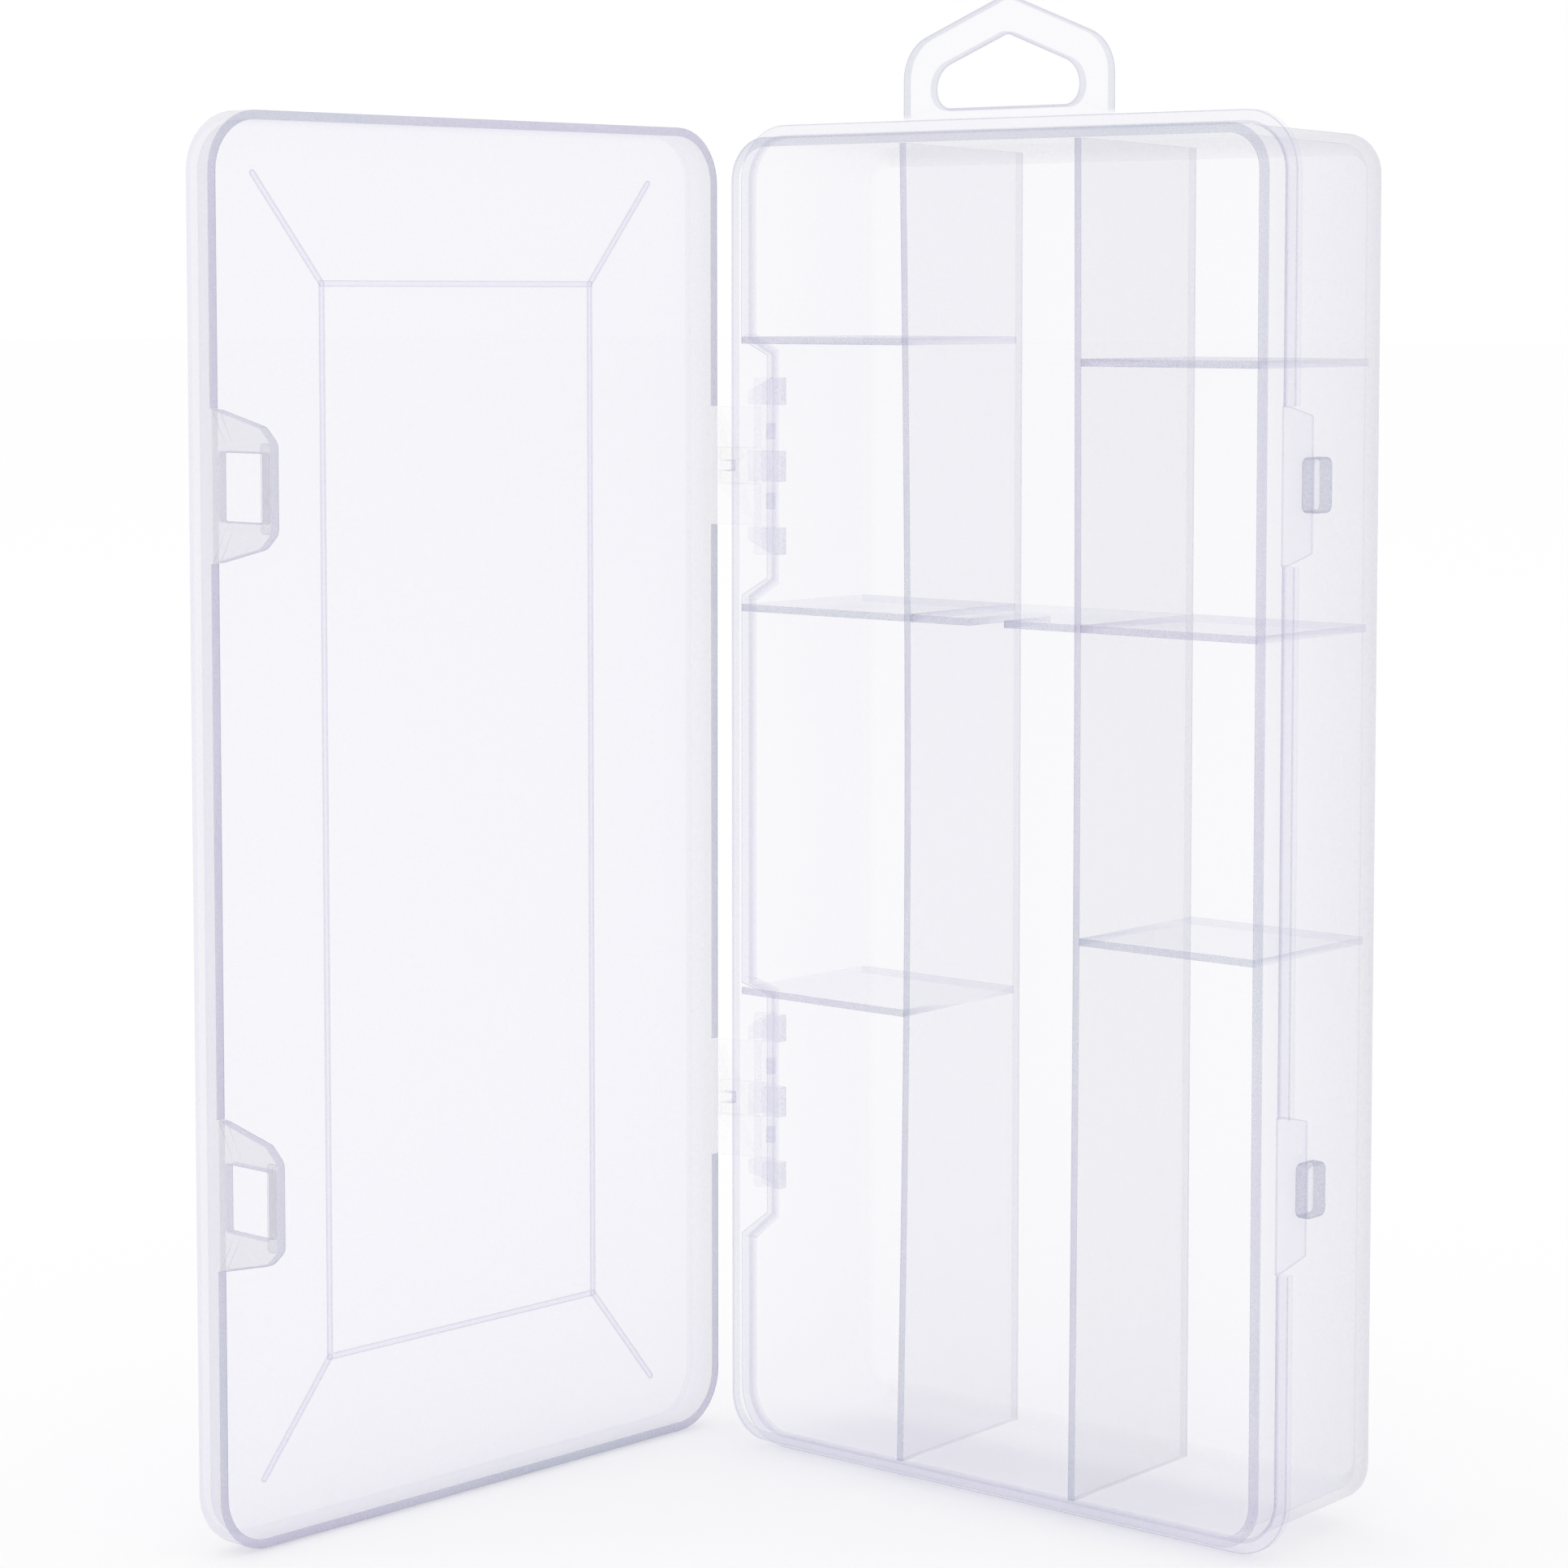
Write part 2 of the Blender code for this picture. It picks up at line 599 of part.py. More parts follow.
def make_latch_tab(name, middle, lid):
    """Springy tab on the lid's free side, with a window for the catch and a grip at its tip."""
    axis_x = SKIRT_OUTSIDE - SKIRT_THICKNESS / 2
    axis_y = SKIRT_EDGE + GAP / 2
    pivot = add_pivot(f"{name}_axis", (axis_x - HINGE_X, axis_y - HINGE_Y, middle), lid)
    root, tip = GAP / 2, LATCH_REACH - GAP / 2
    half_root, half_tip = LATCH_ROOT_LENGTH / 2, LATCH_TIP_LENGTH / 2
    slope_end = tip - GRIP_DEPTH - LATCH_ROOT_STRAIGHT
    outline = rounded_polygon([
        (root, -half_root, 0.0), (root + GAP, -half_root, 0.0), (slope_end, -half_tip, 0.002),
        (tip, -half_tip, 0.0008), (tip, half_tip, 0.0008), (slope_end, half_tip, 0.002),
        (root + GAP, half_root, 0.0), (root, half_root, 0.0),
    ], 4)
    window_low, window_high = WINDOW_START, WINDOW_START + WINDOW_DEPTH
    half_window = WINDOW_LENGTH / 2
    window = rounded_polygon([
        (window_low, -half_window, 0.0005), (window_high, -half_window, 0.0005),
        (window_high, half_window, 0.0005), (window_low, half_window, 0.0005),
    ], 3)
    bm = plate(outline, [window], standing_sideways(-SKIRT_THICKNESS / 2), SKIRT_THICKNESS)
    tab = add_object(name, bm, EDGE_PLASTIC, pivot)
    inset = 0.0008
    grip = [
        (tip - GRIP_DEPTH, inset - half_tip), (tip - inset / 2, inset - half_tip),
        (tip - inset / 2, half_tip - inset), (tip - GRIP_DEPTH, half_tip - inset),
    ]
    grip_bm = plate(grip, [], standing_sideways(0.0), SKIRT_THICKNESS / 2 + GRIP_HEIGHT)
    join_with(tab, f"{name}_grip_guide", grip_bm, pivot)


def main():
    clear_scene()
    make_tray_shell()
    make_long_dividers()
    make_cross_dividers()
    make_rim_flange()
    make_hang_tab()
    make_hinge_clips()
    make_latch_catches()

    lid = add_pivot("lid_hinge_axis", (HINGE_X, HINGE_Y, 0.0), turn=-LID_OPEN_ANGLE)
    make_lid_panel(lid)
    make_lid_skirt(lid)
    make_lid_ribs(lid)
    for level, side in (("upper", 1), ("lower", -1)):
        hinge_middle = MIDDLE_Z + side * HINGE_SPACING / 2
        make_hinge_leaf(f"hinge_leaf_{level}", hinge_middle, lid)
        make_hinge_pin(f"hinge_pin_{level}", hinge_middle, lid)
        make_latch_tab(f"latch_tab_{level}", MIDDLE_Z + side * LATCH_SPACING / 2, lid)


main()
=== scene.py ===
# %% [markdown]
# # A clear tackle box, standing open
#
# The box is two mouldings of clear polypropylene, a tray and a lid. Everything the eye reads in
# such a box is an edge: broad faces are nearly invisible, and the narrow faces at rims, dividers
# and cut-outs gather the light into lilac-grey bands. So the whole lesson is about giving thin
# walls the right narrow faces, and then telling the material where they are.
#
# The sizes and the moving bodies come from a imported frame. This cell loads it and keeps its box.

# %% Load the frame
import json
import math

import bmesh
import bpy
import numpy as np
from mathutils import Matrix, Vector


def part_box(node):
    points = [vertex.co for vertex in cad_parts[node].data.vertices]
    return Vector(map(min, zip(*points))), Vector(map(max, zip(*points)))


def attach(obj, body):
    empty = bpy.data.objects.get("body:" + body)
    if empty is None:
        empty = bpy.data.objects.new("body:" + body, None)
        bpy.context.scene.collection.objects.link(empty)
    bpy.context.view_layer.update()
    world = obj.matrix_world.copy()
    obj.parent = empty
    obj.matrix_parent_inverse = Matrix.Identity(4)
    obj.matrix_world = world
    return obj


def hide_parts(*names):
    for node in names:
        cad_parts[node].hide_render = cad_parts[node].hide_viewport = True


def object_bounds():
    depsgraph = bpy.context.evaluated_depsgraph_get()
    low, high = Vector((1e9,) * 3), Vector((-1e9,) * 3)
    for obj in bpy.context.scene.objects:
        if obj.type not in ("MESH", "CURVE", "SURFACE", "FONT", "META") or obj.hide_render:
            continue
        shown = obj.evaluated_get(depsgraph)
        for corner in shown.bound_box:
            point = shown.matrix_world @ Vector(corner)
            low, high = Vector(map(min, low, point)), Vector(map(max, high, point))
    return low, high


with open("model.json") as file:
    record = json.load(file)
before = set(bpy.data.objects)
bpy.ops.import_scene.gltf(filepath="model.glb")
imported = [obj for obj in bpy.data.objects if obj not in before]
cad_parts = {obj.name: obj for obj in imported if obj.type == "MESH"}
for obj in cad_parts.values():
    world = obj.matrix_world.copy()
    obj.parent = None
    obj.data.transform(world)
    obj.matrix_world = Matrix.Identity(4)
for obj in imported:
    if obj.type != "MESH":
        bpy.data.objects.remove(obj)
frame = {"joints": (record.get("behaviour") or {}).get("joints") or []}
cad_box = [list(corner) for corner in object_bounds()]
print("box of the frame:", cad_box)

# %% [markdown]
# ## Places that everything hangs on
#
# The rim is the tray's open edge. The flange is the ledge round it, the hinge axis is the line
# that the lid turns about, and the two latch centres and two hinge centres sit at equal heights.
# All of these are read from the frame, so a change in the model moves the looks with it.

# %% Read the sizes
rim_low, rim_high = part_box("tray_shell")
rim_half_width = rim_high.x
rim_half_height = (rim_high.z - rim_low.z) / 2
middle_z = (rim_high.z + rim_low.z) / 2
rim_front, tray_back = rim_low.y, rim_high.y

flange_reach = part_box("rim_flange")[1].x - rim_half_width
flange_front, flange_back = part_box("hang_tab")[0].y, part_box("hang_tab")[1].y
flange_thickness = flange_back - flange_front
flange_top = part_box("rim_flange")[1].z

hinge = next(joint for joint in frame["joints"] if joint["name"] == "lid_hinge")
hinge_x, hinge_y = hinge["pos_m"][:2]
open_turn = math.radians(hinge["range_deg"][0])


def height_of(node):
    """Height of the middle of a node."""
    low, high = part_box(node)
    return (low.z + high.z) / 2


levels = {"upper": height_of("latch_catch_upper"), "lower": height_of("latch_catch_lower")}
print("hinge axis at", hinge_x, hinge_y, "open by", math.degrees(open_turn), "levels", levels)

# %% [markdown]
# The wall, the draft and the corner radius belong to the moulding and not to the frame's boxes,
# so they are named here. The draft is the small lean that lets a moulding leave its mould.

# %% Thicknesses and radii of the mouldings
corner_radius = 0.0060
wall = 0.0013
back_thickness = 0.0013
draft = 0.0007
divider_thickness = 0.0010
divider_round = 0.00014
contact_gap = 0.00004  # between pieces that would otherwise share a face

cavity_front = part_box("long_divider_left")[0].y
cavity_back = tray_back - back_thickness
cavity_half_width = rim_half_width - wall
cavity_half_height = rim_half_height - wall
divider_x = (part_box("long_divider_right")[0].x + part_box("long_divider_right")[1].x) / 2

lid_clearance = 0.00055
lid_thickness = 0.0012
skirt_thickness = flange_reach - lid_clearance
skirt_edge = flange_front - 0.0004
panel_inside = rim_front - 0.0003
panel_outside = panel_inside - lid_thickness
skirt_middle = rim_half_width + flange_reach - skirt_thickness / 2
print("cavity depth", cavity_back - cavity_front, "skirt thickness", skirt_thickness)

# %% [markdown]
# ## From arrays to a mesh
#
# Every piece is one or more grids of points. A grid needs only rows and columns of points and a
# word on which directions close on themselves; the quads follow from counting. Each point also
# carries a number called "edge", 0 on broad faces and up to 1 on narrow ones, for the material.


# %% Grids and patches
def grid_quads(rows, columns, rows_close, columns_close):
    """Quads of a grid: each joins a point, its right neighbour, and the same two one row on."""
    row = np.arange(rows if rows_close else rows - 1)
    column = np.arange(columns if columns_close else columns - 1)
    row, column = np.meshgrid(row, column, indexing="ij")
    next_row, next_column = (row + 1) % rows, (column + 1) % columns
    corners = [row * columns + column, row * columns + next_column,
               next_row * columns + next_column, next_row * columns + column]
    return np.stack(corners, -1).reshape(-1, 4)


def patch(grid, edge, rows_close=False, columns_close=False, row_caps=False, column_caps=False):
    """A grid of points as (points, faces, edge). Caps are flat faces across its first and last
    row, or its first and last column."""
    rows, columns = grid.shape[:2]
    numbers = np.arange(rows * columns).reshape(rows, columns)
    faces = grid_quads(rows, columns, rows_close, columns_close).tolist()
    if row_caps:
        faces += [numbers[0].tolist(), numbers[-1].tolist()]
    if column_caps:
        faces += [numbers[:, 0].tolist(), numbers[:, -1].tolist()]
    edge = np.broadcast_to(edge, (rows, columns))
    return grid.reshape(-1, 3), faces, edge.reshape(-1)


def join_patches(patches):
    """One set of points, faces and edge values from several."""
    starts = np.cumsum([0] + [len(points) for points, _, _ in patches])
    faces = [[start + corner for corner in face]
             for start, (_, own_faces, _) in zip(starts, patches) for face in own_faces]
    points = np.concatenate([points for points, _, _ in patches])
    return points, faces, np.concatenate([edge for _, _, edge in patches])


# %% [markdown]
# A moulding is shaded smooth across its small rounded edges and flat across its broad faces, so
# each mesh is marked sharp only where two faces meet at more than 40 degrees. Each piece rides on
# the body that it moves with, and stands for one or more solids of the frame.

# %% Make a piece
sharp_angle = math.radians(40.0)


def add_object(name, data):
    item = bpy.data.objects.new(name, data)
    bpy.context.scene.collection.objects.link(item)
    return item


def make_piece(name, patches, finish, body, *nodes, mist=0.0):
    """mist is one number for the whole piece, or one for each of its points."""
    points, faces, edge = join_patches(patches)
    mist = np.broadcast_to(mist, len(points))
    mesh = bpy.data.meshes.new(name)
    mesh.from_pydata(points.tolist(), [], faces)
    mesh.validate()
    face_out(mesh)
    for mark, values in (("edge", edge), ("mist", mist)):
        mesh.attributes.new(mark, "FLOAT", "POINT").data.foreach_set("value", values.astype(np.float32))
    mesh.shade_smooth()
    mesh.set_sharp_from_angle(angle=sharp_angle)
    mesh.materials.append(finish)
    piece = add_object(name, mesh)
    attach(piece, body)
    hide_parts(*nodes)
    print(name, len(mesh.polygons), "faces, stands for", ", ".join(nodes))
    return piece


def face_out(mesh):
    """Turns the faces of a closed mesh so that they all point outwards."""
    shell = bmesh.new()
    shell.from_mesh(mesh)
    bmesh.ops.recalc_face_normals(shell, faces=shell.faces)
    shell.to_mesh(mesh)
    shell.free()


# %% [markdown]
# ## The plastic
#
# Clear polypropylene is milky, not glassy: light spreads a little in it, so a broad face hides a
# few hundredths of what is behind it, and a narrow face hides about half. Some faces come from a
# textured part of the mould and are a little mistier. Real refraction would be slow and leaves a
# poor game model, so the look is made with transparency instead. What a point hides is a sum: a
# base haze, a term that grows as the surface turns away, the "mist" number, and the "edge" number
# times a slow cloudy noise. The colour slides from pale lilac on polished faces to neutral grey on
# misty ones and to lilac-grey on narrow ones.


# %% Node helpers
def add_node(tree, kind, **settings):
    node = tree.nodes.new(kind)
    for key, value in settings.items():
        setattr(node, key, value)
    return node


def calculate(tree, operation, *values, clamp=False):
    """A Math node; each value is a number or another node's output."""
    node = add_node(tree, "ShaderNodeMath", operation=operation, use_clamp=clamp)
    for socket, value in zip(node.inputs, values):
        if isinstance(value, (int, float)):
            socket.default_value = value
        else:
            tree.links.new(value, socket)
    return node.outputs[0]


def noise(tree, place, scale, detail, roughness=0.5):
    node = add_node(tree, "ShaderNodeTexNoise")
    node.inputs["Scale"].default_value = scale
    node.inputs["Detail"].default_value = detail
    node.inputs["Roughness"].default_value = roughness
    tree.links.new(place, node.inputs["Vector"])
    return node.outputs["Fac"]


def mix_colour(tree, share, first, second):
    """A Mix node from the first colour at 0 to the second at 1; either may be another output."""
    node = add_node(tree, "ShaderNodeMix", data_type="RGBA", clamp_factor=True)
    tree.links.new(share, node.inputs[0])
    for colour, socket in ((first, node.inputs[6]), (second, node.inputs[7])):
        if isinstance(colour, tuple):
            socket.default_value = colour
        else:
            tree.links.new(colour, socket)
    return node.outputs[2]


# %% The clear plastic
FACE_TINT = (0.700, 0.667, 0.865, 1.0)
MIST_TINT = (0.640, 0.628, 0.705, 1.0)
EDGE_TINT = (0.400, 0.440, 0.560, 1.0)
EDGE_TINT_WARM = (0.450, 0.415, 0.600, 1.0)
refractive_index = 1.49
mist_cover = 0.055  # what a mist of 1 hides
outline_power, outline_cover = 24.0, 0.45  # a thin dark line where a face is seen edge-on
slant_power = 4.0  # how late a turning face takes the tint of an edge
cloud_scale, speckle_scale, drift_scale = 70.0, 2600.0, 22.0  # noise cells to a metre
cloud_low, cloud_swing = 0.75, 0.5
drift_gain, drift_start = 5.0, -2.0
gloss_low, gloss_swing = 0.14, 0.16
bump_strength, bump_depth = 0.02, 0.0002


def clear_plastic(name, haze, slant, edge_cover, grain):
    """haze is what a square-on face hides, slant what is added when it is seen edge-on, and
    edge_cover what a narrow face hides. grain is the share that fine speckle adds or takes."""
    material = bpy.data.materials.new(name)
    material.use_nodes = True
    tree = material.node_tree
    shader = tree.nodes["Principled BSDF"]
    shader.inputs["IOR"].default_value = refractive_index
    place = add_node(tree, "ShaderNodeTexCoord").outputs["Object"]
    edge = add_node(tree, "ShaderNodeAttribute", attribute_name="edge").outputs["Fac"]
    mist = add_node(tree, "ShaderNodeAttribute", attribute_name="mist").outputs["Fac"]
    clouds = noise(tree, place, cloud_scale, 3.0)
    speckle = noise(tree, place, speckle_scale, 2.0, 0.7)

    layer = add_node(tree, "ShaderNodeLayerWeight")
    layer.inputs["Blend"].default_value = 0.5
    facing = layer.outputs["Facing"]
    # The mist number is mostly the texture of the mould, but on the tray walls it is lowered at the lower
    # end as painted light, painting that end paler.
    misted = calculate(tree, "MULTIPLY_ADD", mist, mist_cover, haze)
    soft_slant = calculate(tree, "MULTIPLY_ADD", facing, slant, misted)
    outline = calculate(tree, "MULTIPLY", calculate(tree, "POWER", facing, outline_power), outline_cover)
    face_hides = calculate(tree, "ADD", soft_slant, outline)
    cloudiness = calculate(tree, "MULTIPLY_ADD", clouds, cloud_swing, cloud_low)
    edge_hides = calculate(tree, "MULTIPLY", calculate(tree, "MULTIPLY", edge, edge_cover), cloudiness)
    speckled = calculate(tree, "MULTIPLY_ADD", speckle, 4.0 * grain, 1.0 - 2.0 * grain)
    hides = calculate(tree, "ADD", face_hides, edge_hides)
    cover = calculate(tree, "MULTIPLY", hides, speckled, clamp=True)
    tree.links.new(cover, shader.inputs["Alpha"])

    face_tint = mix_colour(tree, mist, FACE_TINT, MIST_TINT)
    broad = noise(tree, place, drift_scale, 1.0)
    drift = calculate(tree, "MULTIPLY_ADD", broad, drift_gain, drift_start, clamp=True)
    edge_tint = mix_colour(tree, drift, EDGE_TINT, EDGE_TINT_WARM)
    turned_away = calculate(tree, "POWER", facing, slant_power)
    tint = mix_colour(tree, calculate(tree, "MAXIMUM", edge, turned_away), face_tint, edge_tint)
    tree.links.new(tint, shader.inputs["Base Color"])

    gloss = calculate(tree, "MULTIPLY_ADD", clouds, gloss_swing, gloss_low)
    tree.links.new(gloss, shader.inputs["Roughness"])
    bump = add_node(tree, "ShaderNodeBump")
    bump.inputs["Strength"].default_value = bump_strength
    bump.inputs["Distance"].default_value = bump_depth
    tree.links.new(speckle, bump.inputs["Height"])
    tree.links.new(bump.outputs["Normal"], shader.inputs["Normal"])
    return material


tray_finish = clear_plastic("clear_tray_plastic", haze=0.058, slant=0.03, edge_cover=0.37, grain=0.14)
lid_finish = clear_plastic("clear_lid_plastic", haze=0.098, slant=0.07, edge_cover=0.37, grain=0.14)
hinge_finish = clear_plastic("grained_hinge_plastic", haze=0.020, slant=0.03, edge_cover=0.40, grain=0.60)
print("finishes:", tray_finish.name, lid_finish.name, hinge_finish.name)

# %% [markdown]
# ## The path round the rim
#
# The walls, the flange and the lid all follow one path: a rectangle with round corners. Each is a
# profile carried along that path, as a moulding is along a picture frame. The path is kept as
# anchors and outward directions, so that a profile set further out still has true round corners:
# on a corner the anchor stays at the corner's centre and the direction turns, and on a side the
# anchor moves and the direction stays.


# %% Path and carrying
corner_steps = 10


def rim_path(right=(), left=()):
    """Anchors and outward directions, anticlockwise from the lower right corner. right and left
    are extra heights on the two long sides, in walking order: up the right and down the left."""
    across, up = rim_half_width - corner_radius, rim_half_height - corner_radius
    turn = np.linspace(0.0, math.pi / 2, corner_steps + 1)
    anchors, outward = [], []
    corners = ((across, -up, -0.5, right), (across, up, 0.0, ()),
               (-across, up, 0.5, left), (-across, -up, 1.0, ()))
    for x, z, start, heights in corners:
        angle = start * math.pi + turn
        heights = np.asarray(heights, float)
        anchors += [np.tile((x, z), (len(turn), 1)), np.stack([np.full(len(heights), x), heights], 1)]
        outward += [np.stack([np.cos(angle), np.sin(angle)], 1),
                    np.tile((math.copysign(1.0, x), 0.0), (len(heights), 1))]
    return np.concatenate(anchors), np.concatenate(outward)


def carry(profile, path, depth_shift=0.0, slide=0.0, narrowing=1.0):
    """Grid with a row for each station and a column for each profile point: anchor + outward *
    (corner radius + offset), at the profile's depth plus that station's shift. slide moves the
    points along a long side, and narrowing scales the offset."""
    anchors, outward = path
    offset = np.broadcast_to(profile[:, 0] * narrowing, (len(anchors), len(profile)))
    flat = anchors[:, None, :] + outward[:, None, :] * (corner_radius + offset)[..., None]
    depth = np.broadcast_to(profile[:, 1] + depth_shift, flat.shape[:2])
    return np.stack([flat[..., 0], depth, flat[..., 1] + slide + middle_z], -1)


def bend(offset, depth, radius, start, end, edge, steps=3):
    """Rows of (offset, depth, edge) on an arc round a centre, from one angle to another, in
    quarter turns; 0 points outwards and 1 points to the back."""
    angle = np.linspace(start, end, steps + 1) * math.pi / 2
    return np.stack([offset + radius * np.cos(angle), depth + radius * np.sin(angle),
                     np.full(steps + 1, edge)], 1)


def lean(depth):
    """How far a drafted wall has moved in at a depth behind the rim."""
    return draft * (depth - rim_front) / (tray_back - rim_front)


# %% [markdown]
# ## Tray walls
#
# One open profile makes the walls and the back: it starts on the inside of the back, rises up the
# inside, turns over the rim, runs down the outside and ends on the outside of the back. The two
# ends are closed by flat faces. One profile gives the fillets, the draft and the rim face at once.

# %% Tray walls
rim_round = 0.00015
rim_glow = 0.00045  # how far the rim's tint reaches down the outside
floor_round = 0.0009
back_round = 0.0011
hold = 0.00012  # how far from a rounded edge its tint has faded
first_outside, first_back = 11, 17  # profile rows where the rim's outer half and the back's edge start
# These three numbers are painted light: they paint the edge bands paler on the hinge side and at the lower
# end.
side_shade_middle, side_shade_swing, side_shade_least = 0.78, 0.22, 0.55
# The last of these numbers is painted light: it thins the mist at the lower end, painting that end paler
# against the shade near the floor.
outside_mist, back_share, end_share, painted_lower_lightening = 0.95, 3.0, 0.7, 0.5


def tray_profile():
    """Rows of (offset, depth, edge), from the inside of the back over the rim to its outside."""
    inside = -wall - lean(cavity_back)
    outside = -lean(tray_back)
    return np.concatenate([
        [(inside - floor_round - 4 * hold, cavity_back, 0.0)],
        bend(inside - floor_round, cavity_back - floor_round, floor_round, 1, 0, 0.04, 4),
        [(-wall - lean(rim_front + rim_round + hold), rim_front + rim_round + hold, 0.0)],
        bend(-wall + rim_round, rim_front + rim_round, rim_round, 2, 3, 1.0),
        bend(-rim_round, rim_front + rim_round, rim_round, 3, 4, 1.0),
        [(-lean(rim_front + rim_glow), rim_front + rim_glow, 0.9)],
        [(-lean(rim_front + rim_glow + hold), rim_front + rim_glow + hold, 0.0)],
        bend(outside - back_round, tray_back - back_round, back_round, 0, 1, 0.24, 5),
        [(outside - back_round - 0.0016, tray_back, 0.0)],
        [(outside - back_round - 0.0018, tray_back, 0.0)],
    ])


# The rim's tint is weaker on the hinge side and at the lower end. This difference by side is painted light:
# the edge bands are painted paler there, as the light falls on them, not from a change in the plastic.
profile = tray_profile()
facing_out = rim_path()[1]
painted_side_shade = side_shade_middle + side_shade_swing * (facing_out[:, 0] + facing_out[:, 1])
wall_edge = profile[None, :, 2] * np.clip(painted_side_shade, side_shade_least, 1.0)[:, None]
walls = patch(carry(profile, rim_path()), wall_edge, rows_close=True, column_caps=True)

# The outside is textured: fully on the latch side, less at the upper end and not on the hinge side. At the
# lower end the mist is cut further as painted light, so that end is painted paler against the shade near
# the floor. Round the back edge it is three times as strong.
rows = np.arange(len(profile))
row_mist = np.select([rows < first_outside, rows < first_back, rows < rows[-1]], [0.0, 1.0, back_share])
side_mist_and_painted_light = end_share + facing_out[:, :1] + painted_lower_lightening * np.minimum(facing_out[:, 1:], 0.0)
wall_mist_and_painted_light = row_mist[None, :] * np.clip(side_mist_and_painted_light, 0.0, 1.0) * outside_mist
make_piece("tray_walls", [walls], tray_finish, "tray", "tray_shell", mist=wall_mist_and_painted_light.reshape(-1))

# %% [markdown]
# ## Flange
#
# The ledge that the closed lid rests on. It is a small bar carried along the same path, open at
# each latch, and it steps back at each hinge to make room for the clips. The step is slanted,
# so the back of the bar slides along the side to keep the bar's thickness there. Its edges are
# barely rounded, and its inner front corner, where it grows out of the wall, shows as a line.

# %% Flange profile
flange_round = 0.00014
root_sink = 0.00005  # how far the bar reaches into the wall
root_line = 0.00030  # how wide the line along the wall is


def flange_profile():
    """Closed rows of (offset, depth, edge): front face, outer edge and back face."""
    front, back = flange_front, flange_back
    outer = flange_reach - flange_round
    return np.concatenate([
        [(-root_sink, front, 0.8), (root_line, front, 0.8), (root_line + hold, front, 0.16)],
        [(outer - 0.5 * hold, front, 0.16)],
        bend(outer, front + flange_round, flange_round, 3, 4, 0.9),
        [(outer + flange_round, front + flange_round + 0.5 * hold, 0.04)],
        bend(outer, back - flange_round, flange_round, 0, 1, 0.10),
        [(outer - hold, back, 0.04), (-root_sink, back, 0.04)],
    ])


# %% Where the flange steps back
jog_length = 0.0355
jog_run = 0.0022
jog_margin = 0.0006  # from a bend to the nearest square section
jog_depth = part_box("rim_flange")[1].y - flange_back
jog_narrowing = 0.0012 / flange_reach
latch_gap = 0.0201
slant_angle = math.atan2(jog_depth, jog_run)
back_slide = flange_thickness * math.tan(slant_angle / 2)


def jog_stations(middle):
    """Heights, depth shifts, slides and narrowings of the stations round one hinge, going down."""
    outer, inner = jog_length / 2, jog_length / 2 - jog_run
    heights = middle + np.array([outer + jog_margin, outer, inner, inner - jog_margin,
                                 jog_margin - inner, -inner, -outer, -outer - jog_margin])
    shifts = jog_depth * np.array([0, 0, 1, 1, 1, 1, 0, 0])
    slides = back_slide * np.array([0, 1, 1, 0, 0, -1, -1, 0])
    return heights, shifts, slides, 1.0 - (1.0 - jog_narrowing) * shifts / jog_depth


# %% Carry the flange round
tab_half_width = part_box("hang_tab")[1].x
jogs = [np.concatenate(parts) for parts in
        zip(jog_stations(levels["upper"] - middle_z), jog_stations(levels["lower"] - middle_z))]
anchors, outward = rim_path(left=jogs[0])
first_jog = int(np.argmax(anchors[:, 1] == jogs[0][0]))
shift, slide, narrowing = np.zeros((3, len(anchors))) + np.array([[0.0], [0.0], [1.0]])
at_jogs = slice(first_jog, first_jog + len(jogs[0]))
shift[at_jogs], slide[at_jogs], narrowing[at_jogs] = jogs[1:]

gap_end = levels["upper"] - middle_z + latch_gap / 2
side_anchor = rim_half_width - corner_radius
ends = [(side_anchor, sign * gap_end, 1.0, 0.0, 0.0, 0.0, 1.0) for sign in (1, -1)]
stations = np.column_stack([anchors, outward, shift, slide, narrowing])
stations = np.concatenate([ends[:1], np.roll(stations, -(corner_steps + 1), 0), ends[1:]])
anchors, outward = stations[:, :2], stations[:, 2:4]
shift, slide, narrowing = stations[:, 4:].T

profile = flange_profile()
behind = (profile[:, 1] - flange_front) / flange_thickness
grid = carry(profile, (anchors, outward), shift[:, None], slide[:, None] * behind, narrowing[:, None])
ring = patch(grid, profile[:, 2], columns_close=True, row_caps=True)
make_piece("flange_ring", [ring], tray_finish, "tray", "rim_flange")

half_strip = levels["upper"] - middle_z - latch_gap / 2
strip_path = (np.array([(side_anchor, -half_strip), (side_anchor, half_strip)]),
              np.array([(1.0, 0.0), (1.0, 0.0)]))
strip = patch(carry(profile, strip_path), profile[:, 2], columns_close=True, row_caps=True)
make_piece("flange_strip", [strip], tray_finish, "tray", "rim_flange_latch_side")

# %% [markdown]
# ## Flat parts with soft edges
#
# The hang tab, the shelves, the latch parts and the clips are all flat plates cut to an outline.
# The material needs to know which points lie on the narrow side, so the rows of the softened side are built
# one by one and not by a bevel modifier: the outline is repeated at a few heights, pulled in along an
# arc near each face. A point is pulled in halfway between the directions of its two sides, far
# enough for both to move by the same amount.


# %% Outlines
def arc(a, b, radius, start, end, steps):
    """Points on a circle round (a, b), with angles in degrees."""
    angle = np.radians(np.linspace(start, end, steps + 1))
    return np.stack([a + radius * np.cos(angle), b + radius * np.sin(angle)], 1)


